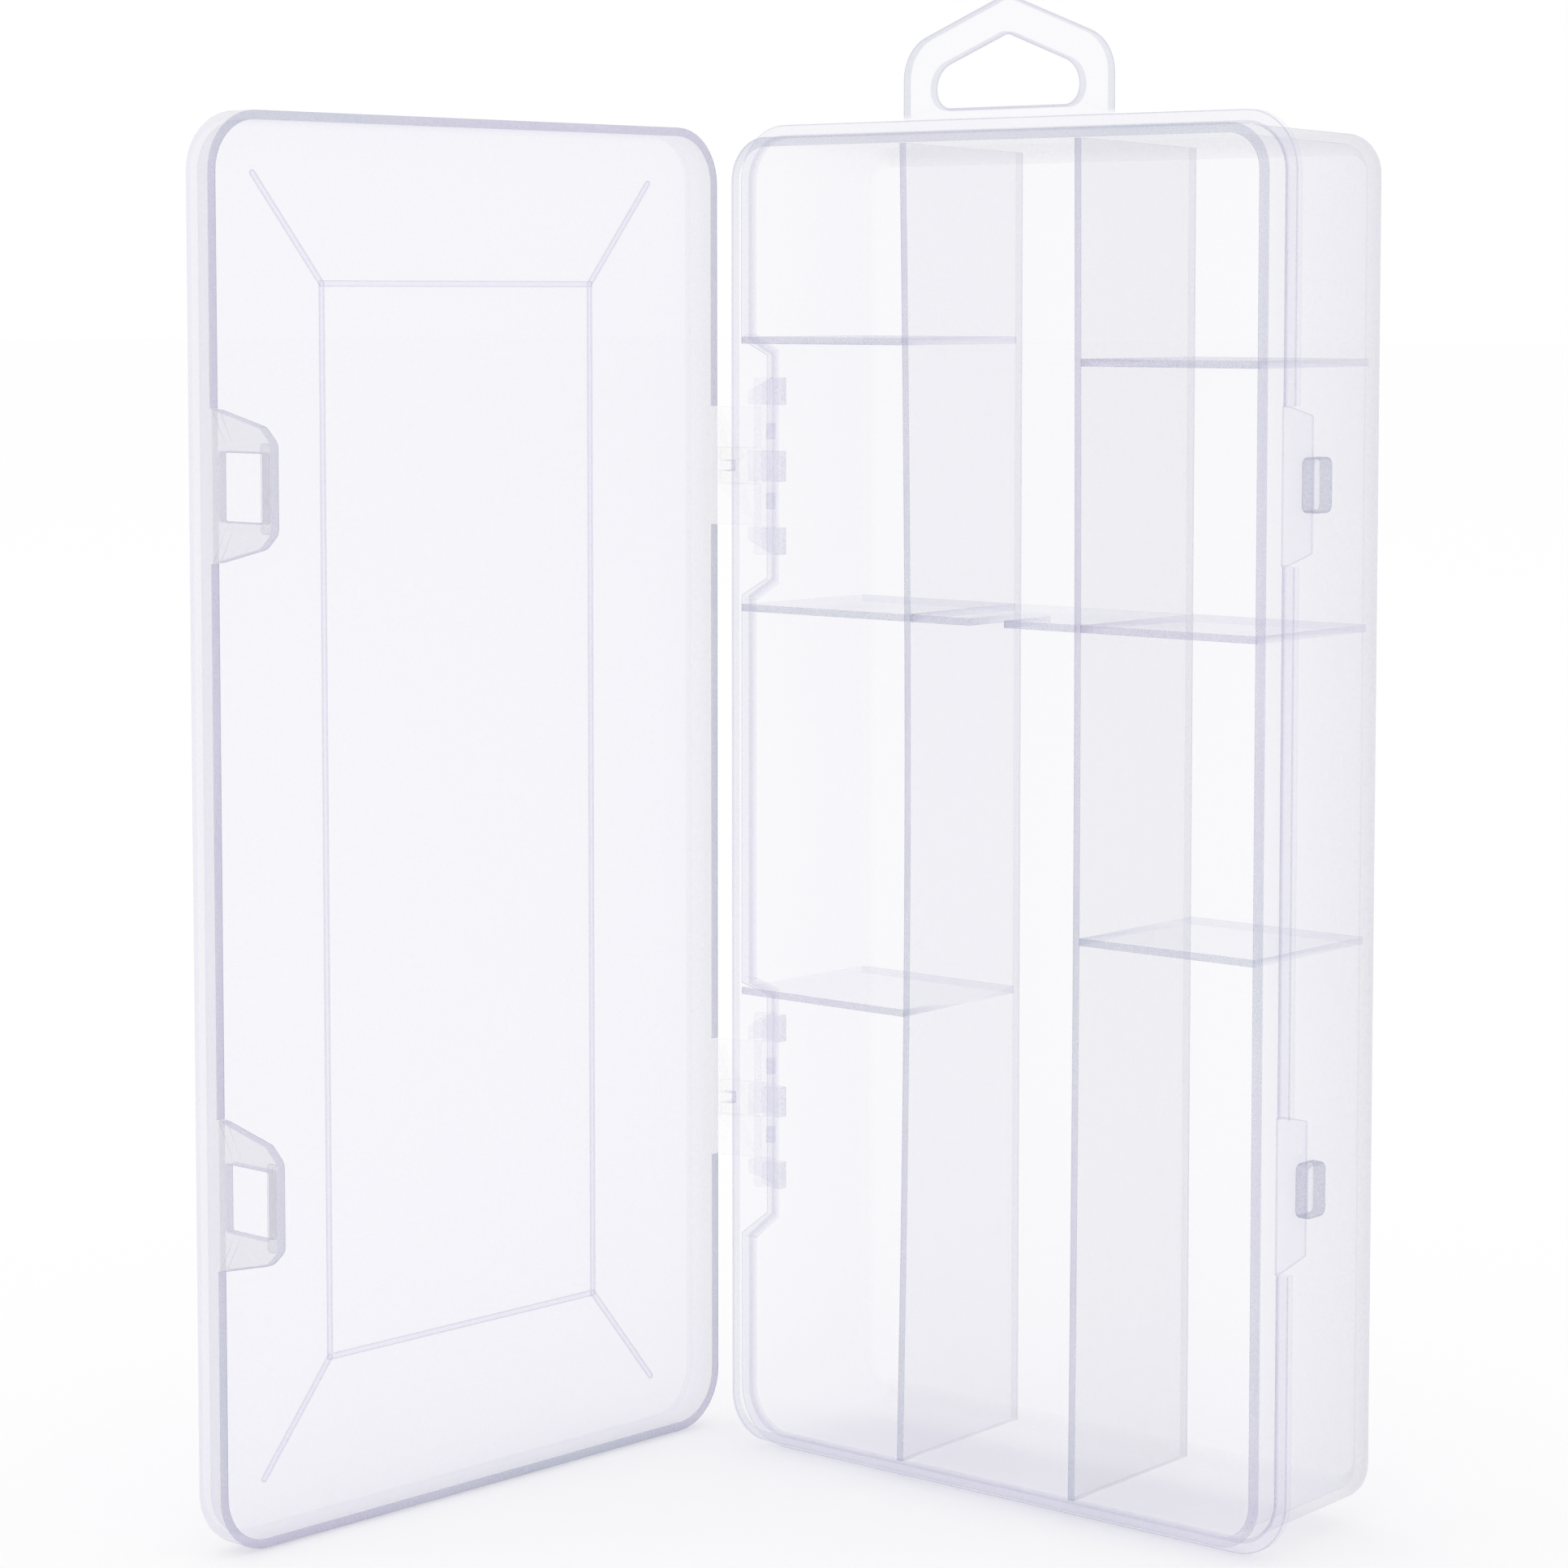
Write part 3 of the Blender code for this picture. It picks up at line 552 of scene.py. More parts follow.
def rounded_outline(corners, steps=6):
    """Closed outline with each corner (a, b, radius) rounded by an arc that touches both sides.
    The arc runs between the two touching points, which lie radius / tan(half angle) away."""
    places = np.array([corner[:2] for corner in corners], float)
    radii = np.array([max(corner[2], 1e-5) for corner in corners])
    before = np.roll(places, 1, 0) - places
    after = np.roll(places, -1, 0) - places
    before /= np.linalg.norm(before, axis=1)[:, None]
    after /= np.linalg.norm(after, axis=1)[:, None]
    half = np.arccos(np.clip((before * after).sum(1), -1, 1)) / 2
    middle = before + after
    middle /= np.linalg.norm(middle, axis=1)[:, None]
    centres = places + middle * (radii / np.sin(half))[:, None]
    first = places + before * (radii / np.tan(half))[:, None] - centres
    start = np.arctan2(first[:, 1], first[:, 0])
    handed = np.sign(before[:, 0] * after[:, 1] - before[:, 1] * after[:, 0])
    sweep = -handed * (math.pi - 2 * half)
    share = np.linspace(0.0, 1.0, steps + 1)
    angle = start[:, None] + sweep[:, None] * share[None, :]
    ring = np.stack([np.cos(angle), np.sin(angle)], -1) * radii[:, None, None] + centres[:, None, :]
    return ring.reshape(-1, 2)


def pull_in(outline, amount):
    """Moves each side of an anticlockwise outline inwards by amount."""
    side = np.roll(outline, -1, 0) - outline
    side /= np.maximum(np.linalg.norm(side, axis=1), 1e-9)[:, None]
    inward = np.stack([-side[:, 1], side[:, 0]], 1)
    both = inward + np.roll(inward, 1, 0)
    stretch = 2.0 / np.maximum((both * both).sum(1), 0.5)
    return outline + both * stretch[:, None] * amount


def mirrored(lower_half, middle=0.0):
    """Corners (a, distance below the middle, radius), then their mirror images above it."""
    return ([(a, middle - b, radius) for a, b, radius in lower_half]
            + [(a, middle + b, radius) for a, b, radius in lower_half[::-1]])


def fade_in(distance, start):
    """0 up to the start and 1 from twice the start on, with a straight rise between."""
    return np.clip((distance - start) / start, 0.0, 1.0)


# %% Plates with and without a hole
def side_rows(thickness, radius, steps=3):
    """Rows of (inset, height, edge) up the side of a plate, from its lower face to its upper."""
    angle = np.linspace(0.0, math.pi / 2, steps + 1)
    inset = radius * (1 - np.cos(angle))
    rise = thickness - radius + radius * np.sin(angle)
    upper = np.stack([inset, rise, np.ones(steps + 1)], 1)
    upper = np.concatenate([upper, [(radius + hold, thickness, 0.0)]])
    lower = upper[::-1] * (1, -1, 1) + (0, thickness, 0)
    return np.concatenate([lower, upper])


def soft_plate(outline, thickness, radius, place, edge=1.0):
    """Plate with rounded rims: the outline at each row's height, pulled in by its inset, and a
    flat face at each end. edge is one number, or one for each outline point."""
    rows = side_rows(thickness, radius)
    flat = np.stack([pull_in(outline, inset) for inset in rows[:, 0]])
    height = np.broadcast_to(rows[:, 1, None], flat.shape[:2])
    grid = place(flat[..., 0], flat[..., 1], height)
    return patch(grid, rows[:, 2, None] * np.broadcast_to(edge, len(outline))[None, :],
                 columns_close=True, row_caps=True)


def ring_plate(outer, inner, thickness, radius, place, outer_edge=1.0, inner_edge=1.0):
    """Plate with one hole, as a ring: up the outer side, across, down the hole's side and back.
    The two outlines have their points matched one to one."""
    rows = side_rows(thickness, radius)
    up = np.stack([pull_in(outer, inset) for inset in rows[:, 0]])
    down = np.stack([pull_in(inner, -inset) for inset in rows[::-1, 0]])
    flat = np.concatenate([up, down])
    height = np.concatenate([rows[:, 1], rows[::-1, 1]])
    height = np.broadcast_to(height[:, None], flat.shape[:2])
    edge = np.concatenate([rows[:, 2, None] * np.broadcast_to(outer_edge, len(outer)),
                           rows[::-1, 2, None] * np.broadcast_to(inner_edge, len(inner))])
    return patch(place(flat[..., 0], flat[..., 1], height), edge, rows_close=True, columns_close=True)


# %% [markdown]
# For a plate with a hole the two outlines need matching points. Seen from a centre inside the
# hole, every corner of either outline lies in some direction; both outlines are read in all of
# those directions, so each keeps its own corners and gets the other's directions as well.


# %% Matching two outlines
def read_outline(outline, centre, angles):
    """Where a ray from the centre at each angle crosses the outline: on the side A to B, it is the
    point where the ray's cross products with A and B balance."""
    around = outline - centre
    own = np.unwrap(np.arctan2(around[:, 1], around[:, 0]))
    around = np.concatenate([around, around[:1]])
    own = np.concatenate([own, [own[0] + 2 * math.pi]])
    angles = own[0] + (angles - own[0]) % (2 * math.pi)
    side = np.clip(np.searchsorted(own, angles, side="right") - 1, 0, len(outline) - 1)
    a, b = around[side], around[side + 1]
    ray = np.stack([np.cos(angles), np.sin(angles)], 1)
    cross_a = a[:, 0] * ray[:, 1] - a[:, 1] * ray[:, 0]
    cross_b = b[:, 0] * ray[:, 1] - b[:, 1] * ray[:, 0]
    share = cross_a / np.where(np.abs(cross_a - cross_b) < 1e-12, 1.0, cross_a - cross_b)
    return centre + a + (b - a) * share[:, None]


def match_outlines(outer, inner):
    """Both outlines read at the directions of all their points from the inner one's middle."""
    centre = (inner.min(0) + inner.max(0)) / 2
    directions = np.concatenate([outer, inner]) - centre
    angles = np.arctan2(directions[:, 1], directions[:, 0]) % (2 * math.pi)
    angles = np.unique(np.round(angles, 4))
    return read_outline(outer, centre, angles), read_outline(inner, centre, angles)


# %% Ways to stand a plate
def facing_front(depth):
    """Outline in X and Z, thickness running back from a depth."""
    return lambda a, b, height: np.stack([a, depth + height, b], -1)


def lying(z):
    """Outline in X and Y, thickness running up from z."""
    return lambda a, b, height: np.stack([a, b, z + height], -1)


def sideways(x, direction=1.0):
    """Outline in Y and Z, thickness running from x towards +X, or -X for a direction of -1."""
    return lambda a, b, height: np.stack([x + direction * height, a, b], -1)


# %% [markdown]
# ## Hang tab
#
# A five-sided plate with a pitched roof and a slot of the same shape, for hanging the box from a
# peg. It grows out of the flange and has the flange's thickness, so the side towards the flange
# shows no edge.


# %% Hang tab
def roofed_outline(half_width, low, shoulder, pitch, radii):
    """Anticlockwise: bottom right, right shoulder, apex, left shoulder, bottom left."""
    bottom, side, top = radii
    apex = shoulder + half_width * math.tan(math.radians(pitch))
    return rounded_outline([(half_width, low, bottom), (half_width, shoulder, side), (0.0, apex, top),
                            (-half_width, shoulder, side), (-half_width, low, bottom)], 8)


tab_shoulder, roof_pitch, tab_round = 0.0095, 21.0, 0.0003
slot_half_width, slot_rise, slot_shoulder = 0.0121, 0.00145, 0.0049
tab_tint, root_fade = 0.75, 0.0002

tab_edge = roofed_outline(tab_half_width, flange_top, flange_top + tab_shoulder, roof_pitch,
                          (0.0003, 0.0060, 0.0040))
slot_low = flange_top + slot_rise
tab_slot = roofed_outline(slot_half_width, slot_low, slot_low + slot_shoulder, roof_pitch,
                          (0.0024, 0.0034, 0.0020))
tab_edge, tab_slot = match_outlines(tab_edge, tab_slot)
free_side = fade_in(tab_edge[:, 1] - flange_top, root_fade) * tab_tint
tab = ring_plate(tab_edge, tab_slot, flange_thickness, tab_round, facing_front(flange_front),
                 free_side, tab_tint)
make_piece("hanging_tab", [tab], tray_finish, "tray", "hang_tab")

# %% [markdown]
# ## Long dividers
#
# Two thin walls that run the tray's whole height. Their front edges are free, and in a light
# moulding like this they warp: the front edge bows sideways by about a millimetre, while the back
# stays where it is moulded to the tray. The divider is a thin rounded profile carried up the
# tray, and the bow is added to every point as a formula.

# %% How the dividers bow
BOW = {-1: 0.0011, 1: 0.0004}
DIVIDER_MIST = {-1: 0.7, 1: 1.0}
back_tint = 0.35
face_points = 8


def bow_at(side, depth, z):
    """Sideways shift: the divider's own bow, times how far forward the point is, to the power
    1.5, times half a sine wave over the height."""
    forward = np.clip((cavity_back - depth) / (cavity_back - cavity_front), 0.0, 1.0)
    level = np.clip((z - middle_z) / cavity_half_height, -1.0, 1.0)
    return BOW[side] * forward ** 1.5 * np.cos(level * math.pi / 2)


def blade_profile(front, back, thickness, radius):
    """Closed section of a thin wall as (sideways, depth, edge): a rounded front edge, two faces
    with points along them so that they can bend, and a flat back that is tinted at its corners."""
    half = thickness / 2
    depths = np.linspace(front + radius + hold, back - 0.0004, face_points - 2)
    depths = np.append(depths, [back - 0.0003, back])
    tint = np.where(depths > back - 0.00035, back_tint, 0.0)
    left_face = np.stack([np.full(face_points, -half), depths[::-1], tint[::-1]], 1)
    right_face = left_face[::-1] * (-1, 1, 1)
    return np.concatenate([
        right_face, left_face,
        bend(-half + radius, front + radius, radius, 2, 3, 1.0),
        bend(half - radius, front + radius, radius, 3, 4, 1.0),
    ])


# %% Long dividers
section = blade_profile(cavity_front, cavity_back - contact_gap, divider_thickness, divider_round)


def make_long_divider(name, side, node):
    across, depth = section[None, :, 0], section[None, :, 1]
    share = np.linspace(-1.0, 1.0, 41)[:, None]
    z = middle_z + share * (cavity_half_height - contact_gap - lean(depth))
    x = side * divider_x + across + bow_at(side, depth, z)
    grid = np.stack([x, np.broadcast_to(depth, x.shape), z], -1)
    blade = patch(grid, section[None, :, 2], columns_close=True, row_caps=True)
    make_piece(name, [blade], tray_finish, "tray", node, mist=DIVIDER_MIST[side])


make_long_divider("divider_wall_left", -1, "long_divider_left")
make_long_divider("divider_wall_right", 1, "long_divider_right")

# %% [markdown]
# ## Shelves
#
# Short shelves cross the three columns and make the ten compartments. A side shelf reaches from a
# bowed divider to a leaning wall: the section's depth and height are fixed, and the sideways
# place runs from the divider's face to the wall's.


# %% Side shelves
def make_side_shelf(name, side, node):
    rise, depth = section[None, :, 0], section[None, :, 1]
    z = height_of(node) + rise
    inner = side * (divider_x + divider_thickness / 2 + contact_gap) + bow_at(side, depth, z)
    outer = side * (cavity_half_width - contact_gap - lean(depth))
    share = np.linspace(0.0, 1.0, 9)[:, None]
    x = inner + (outer - inner) * share
    grid = np.stack([x, np.broadcast_to(depth, x.shape), np.broadcast_to(z, x.shape)], -1)
    shelf = patch(grid, section[None, :, 2], columns_close=True, row_caps=True)
    make_piece(name, [shelf], tray_finish, "tray", node)


for side, word in ((-1, "left"), (1, "right")):
    for number in (1, 2, 3):
        make_side_shelf(f"shelf_{word}_{number}", side, f"cross_divider_{word}_{number}")

# %% [markdown]
# The middle shelf has a round-bottomed notch in its front edge, so it is cut to an outline. Its
# two ends follow the bowed dividers.

# %% Middle shelf
notch_half_width = 0.0029
notch_depth = 0.0120
notch_tint = 0.3


def middle_shelf_outline(z):
    """Outline in X and Y: left divider, notched front edge, right divider; and each point's edge."""
    front, back = cavity_front, cavity_back - contact_gap
    depths = np.linspace(back, front, face_points)
    inset = divider_thickness / 2 + contact_gap
    left = np.stack([-divider_x + inset + bow_at(-1, depths, z), depths], 1)
    right = np.stack([divider_x - inset + bow_at(1, depths[::-1], z), depths[::-1]], 1)
    bottom = front + notch_depth - notch_half_width
    notch = arc(0.0, bottom, notch_half_width, 180.0, 0.0, 16)
    mouth = [(-notch_half_width, front)], [(notch_half_width, front)]
    outline = np.concatenate([left, mouth[0], notch, mouth[1], right])
    moulded = np.zeros(face_points - 1)
    free = np.concatenate([moulded, np.ones(len(outline) - 2 * len(moulded)), moulded])
    return outline, np.where((outline[:, 1] > front + 1e-5) & (free > 0.5), notch_tint, free)


z = height_of("cross_divider_middle")
outline, free = middle_shelf_outline(z)
shelf = soft_plate(outline, divider_thickness, divider_round, lying(z - divider_thickness / 2), free)
make_piece("shelf_middle", [shelf], tray_finish, "tray", "cross_divider_middle")

# %% [markdown]
# ## Latch blocks
#
# On the latch side a rounded block stands out of the wall at each break in the flange, and the
# lid's window drops over it. Round it the wall has a thin raised pad, seen as a faint outline.

# %% Latch blocks and pads
block_corner, block_round = 0.001, 0.0003
pad_height, pad_round, pad_tint = 0.00022, 0.00008, 0.55
pad_reach = 0.0108  # from the rim back to the pad's far side
pad_taper = 0.0013


def make_latch_block(level):
    low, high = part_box(f"latch_catch_{level}")
    corners = ((low.y, low.z), (high.y, low.z), (high.y, high.z), (low.y, high.z))
    outline = rounded_outline([(*corner, block_corner) for corner in corners])
    base = rim_half_width - lean(high.y) + contact_gap
    block = soft_plate(outline, high.x - base, block_round, sideways(base))
    front, back = flange_back + 0.0002, rim_front + pad_reach
    half_front, half_back = latch_gap / 2, latch_gap / 2 - pad_taper
    pad_half = [(flange_front, half_front, 0.0), (front, half_front, 0.0003), (back, half_back, 0.0004)]
    pad_base = rim_half_width - lean(back) * 0.9
    pad = soft_plate(rounded_outline(mirrored(pad_half, levels[level])), pad_height, pad_round,
                     sideways(pad_base), pad_tint)
    make_piece(f"latch_block_{level}", [block, pad], tray_finish, "tray", f"latch_catch_{level}")


for level in levels:
    make_latch_block(level)

# %% [markdown]
# ## Hinge clips
#
# Three hooks on the hinge side hold the lid's pin at each hinge. A hook is a C that is open
# towards the front, with a short arm to the wall. It is a plate cut to that outline and laid
# flat, and the outer hooks are cut at a slant towards their outer front corner. The plastic here
# is textured, so its finish is speckled, and the foot of the arm is its darkest part.

# %% Hook outline
clip_bore = 0.00127
clip_radius = 0.00202
clip_standoff = -rim_half_width - hinge_x
arm_behind, arm_front = 0.0011, 0.0004
mouth_in, mouth_out = -52.0, 232.0  # degrees at which the C ends
clip_round, clip_tint, foot_tint = 0.0001, 0.12, 0.50
clip_slant = 0.0020
slant_start = 0.0013  # how far on the wall's side of the axis a slant starts
slant_outwards, slant_forwards = 0.75, 0.66


def hook_outline():
    """Hook round the axis in X and Y: outer arc, arm to the wall, outer arc to the mouth, bore."""
    arm_start = -math.degrees(math.asin(arm_front / clip_radius))
    arm_end = math.degrees(math.asin(arm_behind / clip_radius))
    foot = clip_standoff - contact_gap
    outer_start = arc(0.0, 0.0, clip_radius, mouth_in, arm_start, 6)
    arm = np.array([(foot, outer_start[-1, 1]), (foot, arm_behind)])
    outline = np.concatenate([
        outer_start, arm,
        arc(0.0, 0.0, clip_radius, arm_end, mouth_out, 24),
        arc(0.0, 0.0, clip_bore, mouth_out, mouth_in, 24),
    ])
    edge = np.full(len(outline), clip_tint)
    edge[len(outer_start):len(outer_start) + len(arm)] = foot_tint
    return outline, edge


# %% Make the hooks
def make_hook(level, spot, slanted):
    """slanted is 1 for a slant on the upper end, -1 for one on the lower end and 0 for none."""
    node = f"hinge_clip_{level}_{spot}"
    low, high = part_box(node)
    length = high.z - low.z
    outline, edge = hook_outline()
    points, faces, values = soft_plate(outline, length, clip_round, lying(-length / 2), edge)
    towards_corner = -(slant_outwards * points[:, 0] + slant_forwards * points[:, 1])
    share = np.clip((towards_corner + slant_start) / (clip_radius + slant_start), 0.0, 1.0)
    points[:, 2] -= slanted * clip_slant * share * (slanted * points[:, 2] > 0)
    points += (hinge_x, hinge_y, (low.z + high.z) / 2)
    make_piece(f"hinge_hook_{level}_{spot}", [(points, faces, values)], hinge_finish, "tray", node)


for level in levels:
    for spot, slanted in (("top", 1), ("middle", 0), ("bottom", -1)):
        make_hook(level, spot, slanted)


# %% [markdown]
# ## The lid, built shut and then opened
#
# The lid is easiest to describe shut, where it follows the rim's path. Its pieces are worked out
# there and then turned about the hinge axis by the angle at which the lid stands open.


# %% Opening the lid
def open_lid(shaped):
    """A patch turned about the hinge axis: each point keeps its height and its distance from the
    axis."""
    points, faces, edge = shaped
    cos, sin = math.cos(open_turn), math.sin(open_turn)
    u, v = points[:, 0] - hinge_x, points[:, 1] - hinge_y
    turned = np.stack([hinge_x + u * cos - v * sin, hinge_y + u * sin + v * cos, points[:, 2]], 1)
    return turned, faces, edge


# %% [markdown]
# The lid's profile starts on the inside of its panel, runs down the inside of the skirt, across
# the skirt's edge and back up the outside. The edge shows as a dark band, but not where a hinge
# leaf or a latch flap grows out of it, so the band is masked along the path.

# %% Lid cover
leaf_half_height = 0.0083
flap_root = 0.0194
lid_round = 0.0011
skirt_round = 0.00018
lid_fillet = 0.0004
skirt_mist = 1.8
mask_step = 0.00005


def break_heights(half_length):
    """Heights, relative to the middle, just outside and just inside each break, going up."""
    offsets = np.array([-half_length - mask_step, -half_length, half_length, half_length + mask_step])
    return np.concatenate([levels[level] - middle_z + offsets for level in ("lower", "upper")])


def lid_profile():
    """Rows of (offset, depth, edge), from the inside of the panel round the skirt to its outside."""
    outer, inner = flange_reach, lid_clearance
    return np.concatenate([
        [(inner - 2 * lid_fillet, panel_inside, 0.0)],
        bend(inner - lid_fillet, panel_inside + lid_fillet, lid_fillet, 3, 4, 0.12),
        [(inner, skirt_edge - skirt_round - hold, 0.0)],
        bend(inner + skirt_round, skirt_edge - skirt_round, skirt_round, 2, 1, 1.0),
        bend(outer - skirt_round, skirt_edge - skirt_round, skirt_round, 1, 0, 1.0),
        [(outer, skirt_edge - skirt_round - hold, 0.0)],
        bend(outer - lid_round, panel_outside + lid_round, lid_round, 0, -1, 0.22, 5),
        [(outer - lid_round - lid_fillet, panel_outside, 0.0)],
    ])


right_breaks = break_heights(flap_root / 2)
left_breaks = break_heights(leaf_half_height)[::-1]
path = rim_path(right=right_breaks, left=left_breaks)
inside_breaks = [1, 2, 5, 6]
on_right = (path[1][:, 0] > 0.999) & np.isin(path[0][:, 1], right_breaks[inside_breaks])
on_left = (path[1][:, 0] < -0.999) & np.isin(path[0][:, 1], left_breaks[inside_breaks])
band = np.where(on_right | on_left, 0.0, 1.0)
profile = lid_profile()
cover_edge = np.minimum(profile[None, :, 2], np.where(profile[None, :, 2] > 0.5, band[:, None], 1.0))
cover = patch(carry(profile, path), cover_edge, rows_close=True, column_caps=True)
cover_mist = skirt_mist * fade_in(profile[:, 1] - panel_inside, lid_fillet)
cover_mist = np.repeat(cover_mist[None, :], len(path[0]), 0)
make_piece("lid_cover", [open_lid(cover)], lid_finish, "lid", "lid_panel", "lid_skirt",
           mist=cover_mist.reshape(-1))

# %% [markdown]
# ## Ribs
#
# The inside of the lid carries a raised frame, with a rib running from each of its corners towards
# the corner of the lid. The ribs are so low that only their two sides show, as a pair of thin
# lines. The frame is a ring plate, and each corner rib a plate with round ends.

# %% Rib frame and corner ribs
rib_width = 0.0008
rib_height = 0.0003
rib_round, rib_tint = 0.00005, 0.5
rib_inset_side, rib_inset_end = 0.0200, 0.0200
tip_inset_side, tip_inset_end = 0.0085, 0.0060
frame_x, frame_z = rim_half_width - rib_inset_side, rim_half_height - rib_inset_end
tip_x, tip_z = rim_half_width - tip_inset_side, rim_half_height - tip_inset_end


def rectangle(half_width, half_height):
    corners = ((1, -1), (1, 1), (-1, 1), (-1, -1))
    return rounded_outline([(x * half_width, middle_z + z * half_height, 0.0002) for x, z in corners], 3)


def corner_rib(x, z):
    """Outline of a straight rib with round ends, from the frame's corner to its tip."""
    heading = math.degrees(math.atan2(z * (tip_z - frame_z), x * (tip_x - frame_x)))
    start, end = (x * frame_x, middle_z + z * frame_z), (x * tip_x, middle_z + z * tip_z)
    return np.concatenate([arc(*end, rib_width / 2, heading - 90, heading + 90, 8),
                           arc(*start, rib_width / 2, heading + 90, heading + 270, 8)])


on_panel = facing_front(panel_inside + 0.00002)
half_rib = rib_width / 2
outer, inner = match_outlines(rectangle(frame_x + half_rib, frame_z + half_rib),
                              rectangle(frame_x - half_rib, frame_z - half_rib))
ribs = [ring_plate(outer, inner, rib_height, rib_round, on_panel, rib_tint, rib_tint)]
ribs += [soft_plate(corner_rib(x, z), rib_height, rib_round, on_panel, rib_tint)
         for x in (1, -1) for z in (1, -1)]
make_piece("lid_rib_lines", [open_lid(rib) for rib in ribs], lid_finish, "lid", "lid_ribs")

# %% [markdown]
# ## Hinge arms
#
# At each hinge a thin leaf runs from the skirt's edge to a pin, and the pin snaps into the three
# hooks. The leaf is notched where the middle hook goes, with a small tongue in the notch, and two
# nubs on the pin keep it from sliding. Leaf, pin and nubs are one moulding, so they are one piece.

# %% Hinge arm
pin_radius = 0.0012
pin_round, pin_tint = 0.0002, 0.09
leaf_thickness = 0.0012
leaf_round, leaf_tint, tongue_tint = 0.00015, 0.04, 0.7
nub_offset, nub_half_length, nub_half_width = 0.0049, 0.00115, 0.0006
nub_near, nub_far, nub_round, nub_tint = 0.0008, 0.0018, 0.0001, 0.40
middle_clip_low, middle_clip_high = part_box("hinge_clip_upper_middle")
notch_half = (middle_clip_high.z - middle_clip_low.z) / 2 + 0.0003  # the frame's gap beside the clip
tongue_half = 0.0008
leaf_start = np.array([-skirt_middle - hinge_x, skirt_edge - hinge_y])
leaf_length = float(np.linalg.norm(leaf_start))
leaf_along = -leaf_start / leaf_length
leaf_across = np.array([-leaf_along[1], leaf_along[0]])


def from_axis(along, across, z):
    """Points at distances from the hinge axis, along the leaf and across it."""
    spot = along[..., None] * leaf_along + across[..., None] * leaf_across
    return np.stack([hinge_x + spot[..., 0], hinge_y + spot[..., 1], z], -1)


def on_leaf(middle):
    """Outline along the leaf and up, thickness across it, measured from the skirt's edge."""
    return lambda a, b, height: from_axis(a - leaf_length, height - leaf_thickness / 2, middle + b)


def leaf_outline():
    """Outline along the leaf and up: its lower half, then the mirror image; and each point's edge."""
    root, tip = 0.00035, leaf_length - 0.3 * pin_radius
    notch_root, tongue_tip = root + 0.0004, root + 0.0026
    half = np.array([(root, leaf_half_height), (tip, leaf_half_height), (tip, notch_half),
                     (notch_root, notch_half), (notch_root, tongue_half), (tongue_tip, tongue_half)])
    edge = np.array([0.0] + [leaf_tint] * 4 + [tongue_tint])
    return np.concatenate([half * (1, -1), half[::-1]]), np.concatenate([edge, edge[::-1]])


def pin(middle, half_length, radius, edge):
    """A turned pin: circles up the axis, pulled in by an arc at both ends."""
    turn = np.linspace(0.0, 2 * math.pi, 33)[:-1]
    bow = np.linspace(0.0, math.pi / 2, 4)
    radii = radius - pin_round * (1 - np.sin(bow))
    radii = np.concatenate([radii, radii[::-1]])[:, None]
    heights = -half_length + pin_round * (1 - np.cos(bow))
    heights = np.concatenate([heights, -heights[::-1]])[:, None]
    heights = np.broadcast_to(heights, (len(radii), len(turn)))
    grid = np.stack([hinge_x + radii * np.cos(turn), hinge_y + radii * np.sin(turn), middle + heights], -1)
    return patch(grid, edge, columns_close=True, row_caps=True)


def nub(middle):
    """Small block on the side of the pin that faces away from the leaf."""
    half = [(nub_near, nub_half_width, nub_round), (nub_far, nub_half_width, nub_round)]
    return soft_plate(rounded_outline(mirrored(half), 3), 2 * nub_half_length, nub_round,
                      lambda a, b, height: from_axis(a, b, middle + height - nub_half_length), nub_tint)


def make_hinge_arm(level):
    middle = levels[level]
    outline, edge = leaf_outline()
    low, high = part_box(f"hinge_pin_{level}")
    parts = [soft_plate(outline, leaf_thickness, leaf_round, on_leaf(middle), edge),
             pin(middle, (high.z - low.z) / 2, pin_radius, pin_tint)]
    parts += [nub(middle + offset) for offset in (-nub_offset, nub_offset)]
    make_piece(f"hinge_arm_{level}", [open_lid(part) for part in parts], hinge_finish, "lid",
               f"hinge_leaf_{level}", f"hinge_pin_{level}")


for level in levels:
    make_hinge_arm(level)

# %% [markdown]
# ## Latch flaps
#
# A springy flap hangs from the skirt on the free side, with a window for the latch block and a
# thicker lip at its tip to pull on. Its sides slope in an S-curve. It is a ring plate, matched
# round the window, and the lip is a bar on its outer face.

# %% Flap outline
flap_tip = 0.0145
flap_reach = 0.0116
window_half, window_low, window_high = 0.0043, 0.0015, 0.0096
flap_round, flap_tint, window_tint, flap_mist = 0.00015, 0.8, 0.7, 1.4
tip_round = 0.0016
lip_length, lip_thickness, lip_tint = 0.0014, 0.00055, 0.1


def flap_outlines(middle):
    """The flap and its window in Y and Z, with the flap running back from the skirt's edge."""
    root, tip = skirt_edge + 0.0001, skirt_edge + flap_reach - 0.0001
    slope_start, slope_end = root + 0.0010, tip - 0.0022
    flap_half = [(root, flap_root / 2, 0.0), (slope_start, flap_root / 2 - 0.0001, 0.0015),
                 (slope_end, flap_tip / 2 + 0.0004, 0.0020), (tip, flap_tip / 2 - tip_round, tip_round)]
    low, high = skirt_edge + window_low, skirt_edge + window_high
    window = rounded_outline(mirrored([(low, window_half, 0.0003), (high, window_half, 0.0003)], middle), 4)
    return match_outlines(rounded_outline(mirrored(flap_half, middle)), window)


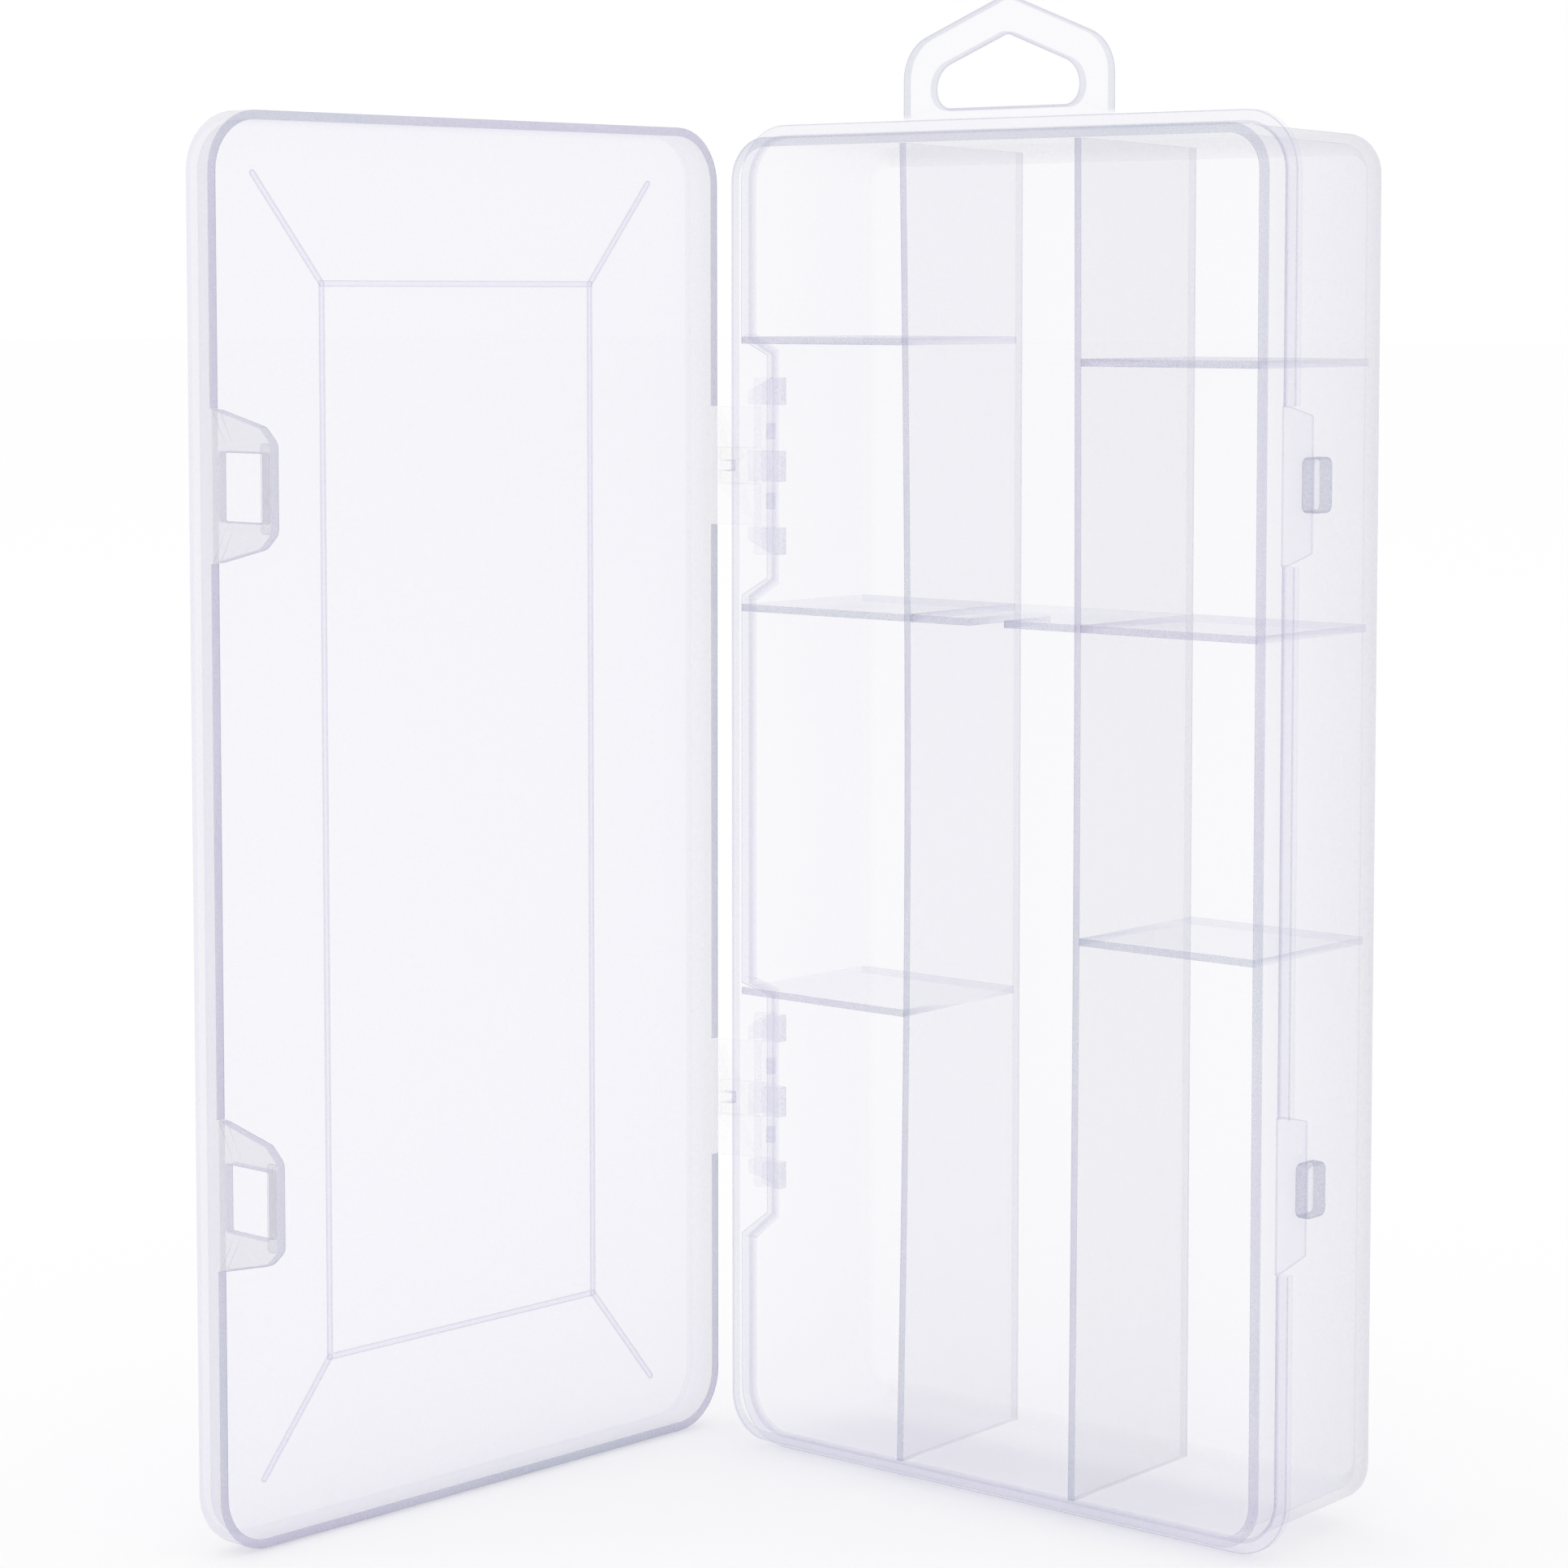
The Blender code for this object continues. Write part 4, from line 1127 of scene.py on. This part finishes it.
# %% Latch flaps
def make_latch_flap(level):
    middle = levels[level]
    flap, window = flap_outlines(middle)
    free = fade_in(flap[:, 0] - skirt_edge, root_fade)
    inner_face = skirt_middle - skirt_thickness / 2
    plate = ring_plate(flap, window, skirt_thickness, flap_round, sideways(inner_face),
                       flap_tint * free, window_tint)
    tip = skirt_edge + flap_reach - 0.0003
    half = flap_tip / 2 - tip_round
    lip = rounded_outline(mirrored([(tip - lip_length, half, 0.0005), (tip, half, 0.0002)], middle), 3)
    lip = soft_plate(lip, lip_thickness, flap_round, sideways(inner_face + skirt_thickness), lip_tint)
    make_piece(f"latch_flap_{level}", [open_lid(plate), open_lid(lip)], lid_finish,
               f"latch_{level}", f"latch_tab_{level}", mist=flap_mist)


for level in levels:
    make_latch_flap(level)

# %% [markdown]
# ## Stage, light and camera
#
# Clear plastic is photographed on white with light from all sides, because it shows nothing of
# its own. The floor is large and nearly white, and the sky is as bright as the floor under it, so
# that no horizon is seen. Two large soft lamps add very little: they only give the glossy faces
# something to catch.

# %% Floor
floor_drop = 0.0002
floor_reach = 12.0
floor_z = cad_box[0][2] - floor_drop
floor_white = 0.992
floor_mesh = bpy.data.meshes.new("studio_floor")
spread = np.array([(-1, -1), (1, -1), (1, 1), (-1, 1)]) * floor_reach
floor_mesh.from_pydata(np.column_stack([spread, np.full(4, floor_z)]).tolist(), [], [(0, 1, 2, 3)])
floor = add_object("studio_floor", floor_mesh)
floor_paint = bpy.data.materials.new("pale_floor")
floor_paint.use_nodes = True
paint = floor_paint.node_tree.nodes["Principled BSDF"]
paint.inputs["Base Color"].default_value = (floor_white, floor_white, floor_white, 1.0)
paint.inputs["Roughness"].default_value = 0.9
paint.inputs["Specular IOR Level"].default_value = 0.0
floor_mesh.materials.append(floor_paint)
print("floor at", floor_z)


# %% Sky and lamps
world = bpy.data.worlds.new("white_studio")
bpy.context.scene.world = world
world.use_nodes = True
sky = world.node_tree.nodes["Background"]
sky.inputs["Color"].default_value = (1.0, 1.0, 1.0, 1.0)
sky.inputs["Strength"].default_value = 1.0


def soft_lamp(name, place, size, power):
    """A square lamp aimed at the middle of the box."""
    light = bpy.data.lights.new(name, "AREA")
    light.size = size
    light.energy = power
    lamp = add_object(name, light)
    lamp.location = place
    aim = np.array([0.0, 0.0, middle_z]) - place
    flat = math.hypot(aim[0], aim[1])
    lamp.rotation_euler = (math.pi / 2 + math.atan2(aim[2], flat), 0.0, math.atan2(-aim[0], aim[1]))


soft_lamp("overhead_softbox", (0.3, -0.5, 2.2), size=2.0, power=0.6)
soft_lamp("left_softbox", (-1.8, -1.0, 1.2), size=1.5, power=0.4)
print("lamps and sky are set")

# %% Camera
tilt_down, turned_left = 4.258, 40.958  # degrees
camera_data = bpy.data.cameras.new("camera")
camera_data.sensor_width = 36.0
camera_data.lens = 97.22
camera_data.shift_y = -0.11
camera_data.clip_start = 0.01
camera_data.clip_end = 100.0
camera = add_object("camera", camera_data)
camera.location = (0.3441, -0.4411, 0.1609)
camera.rotation_euler = (math.radians(90.0 - tilt_down), 0.0, math.radians(turned_left))
bpy.context.scene.camera = camera
bpy.context.scene.view_settings.view_transform = "Standard"
bpy.context.scene.cycles.transparent_max_bounces = 64
print("camera at", tuple(camera.location))
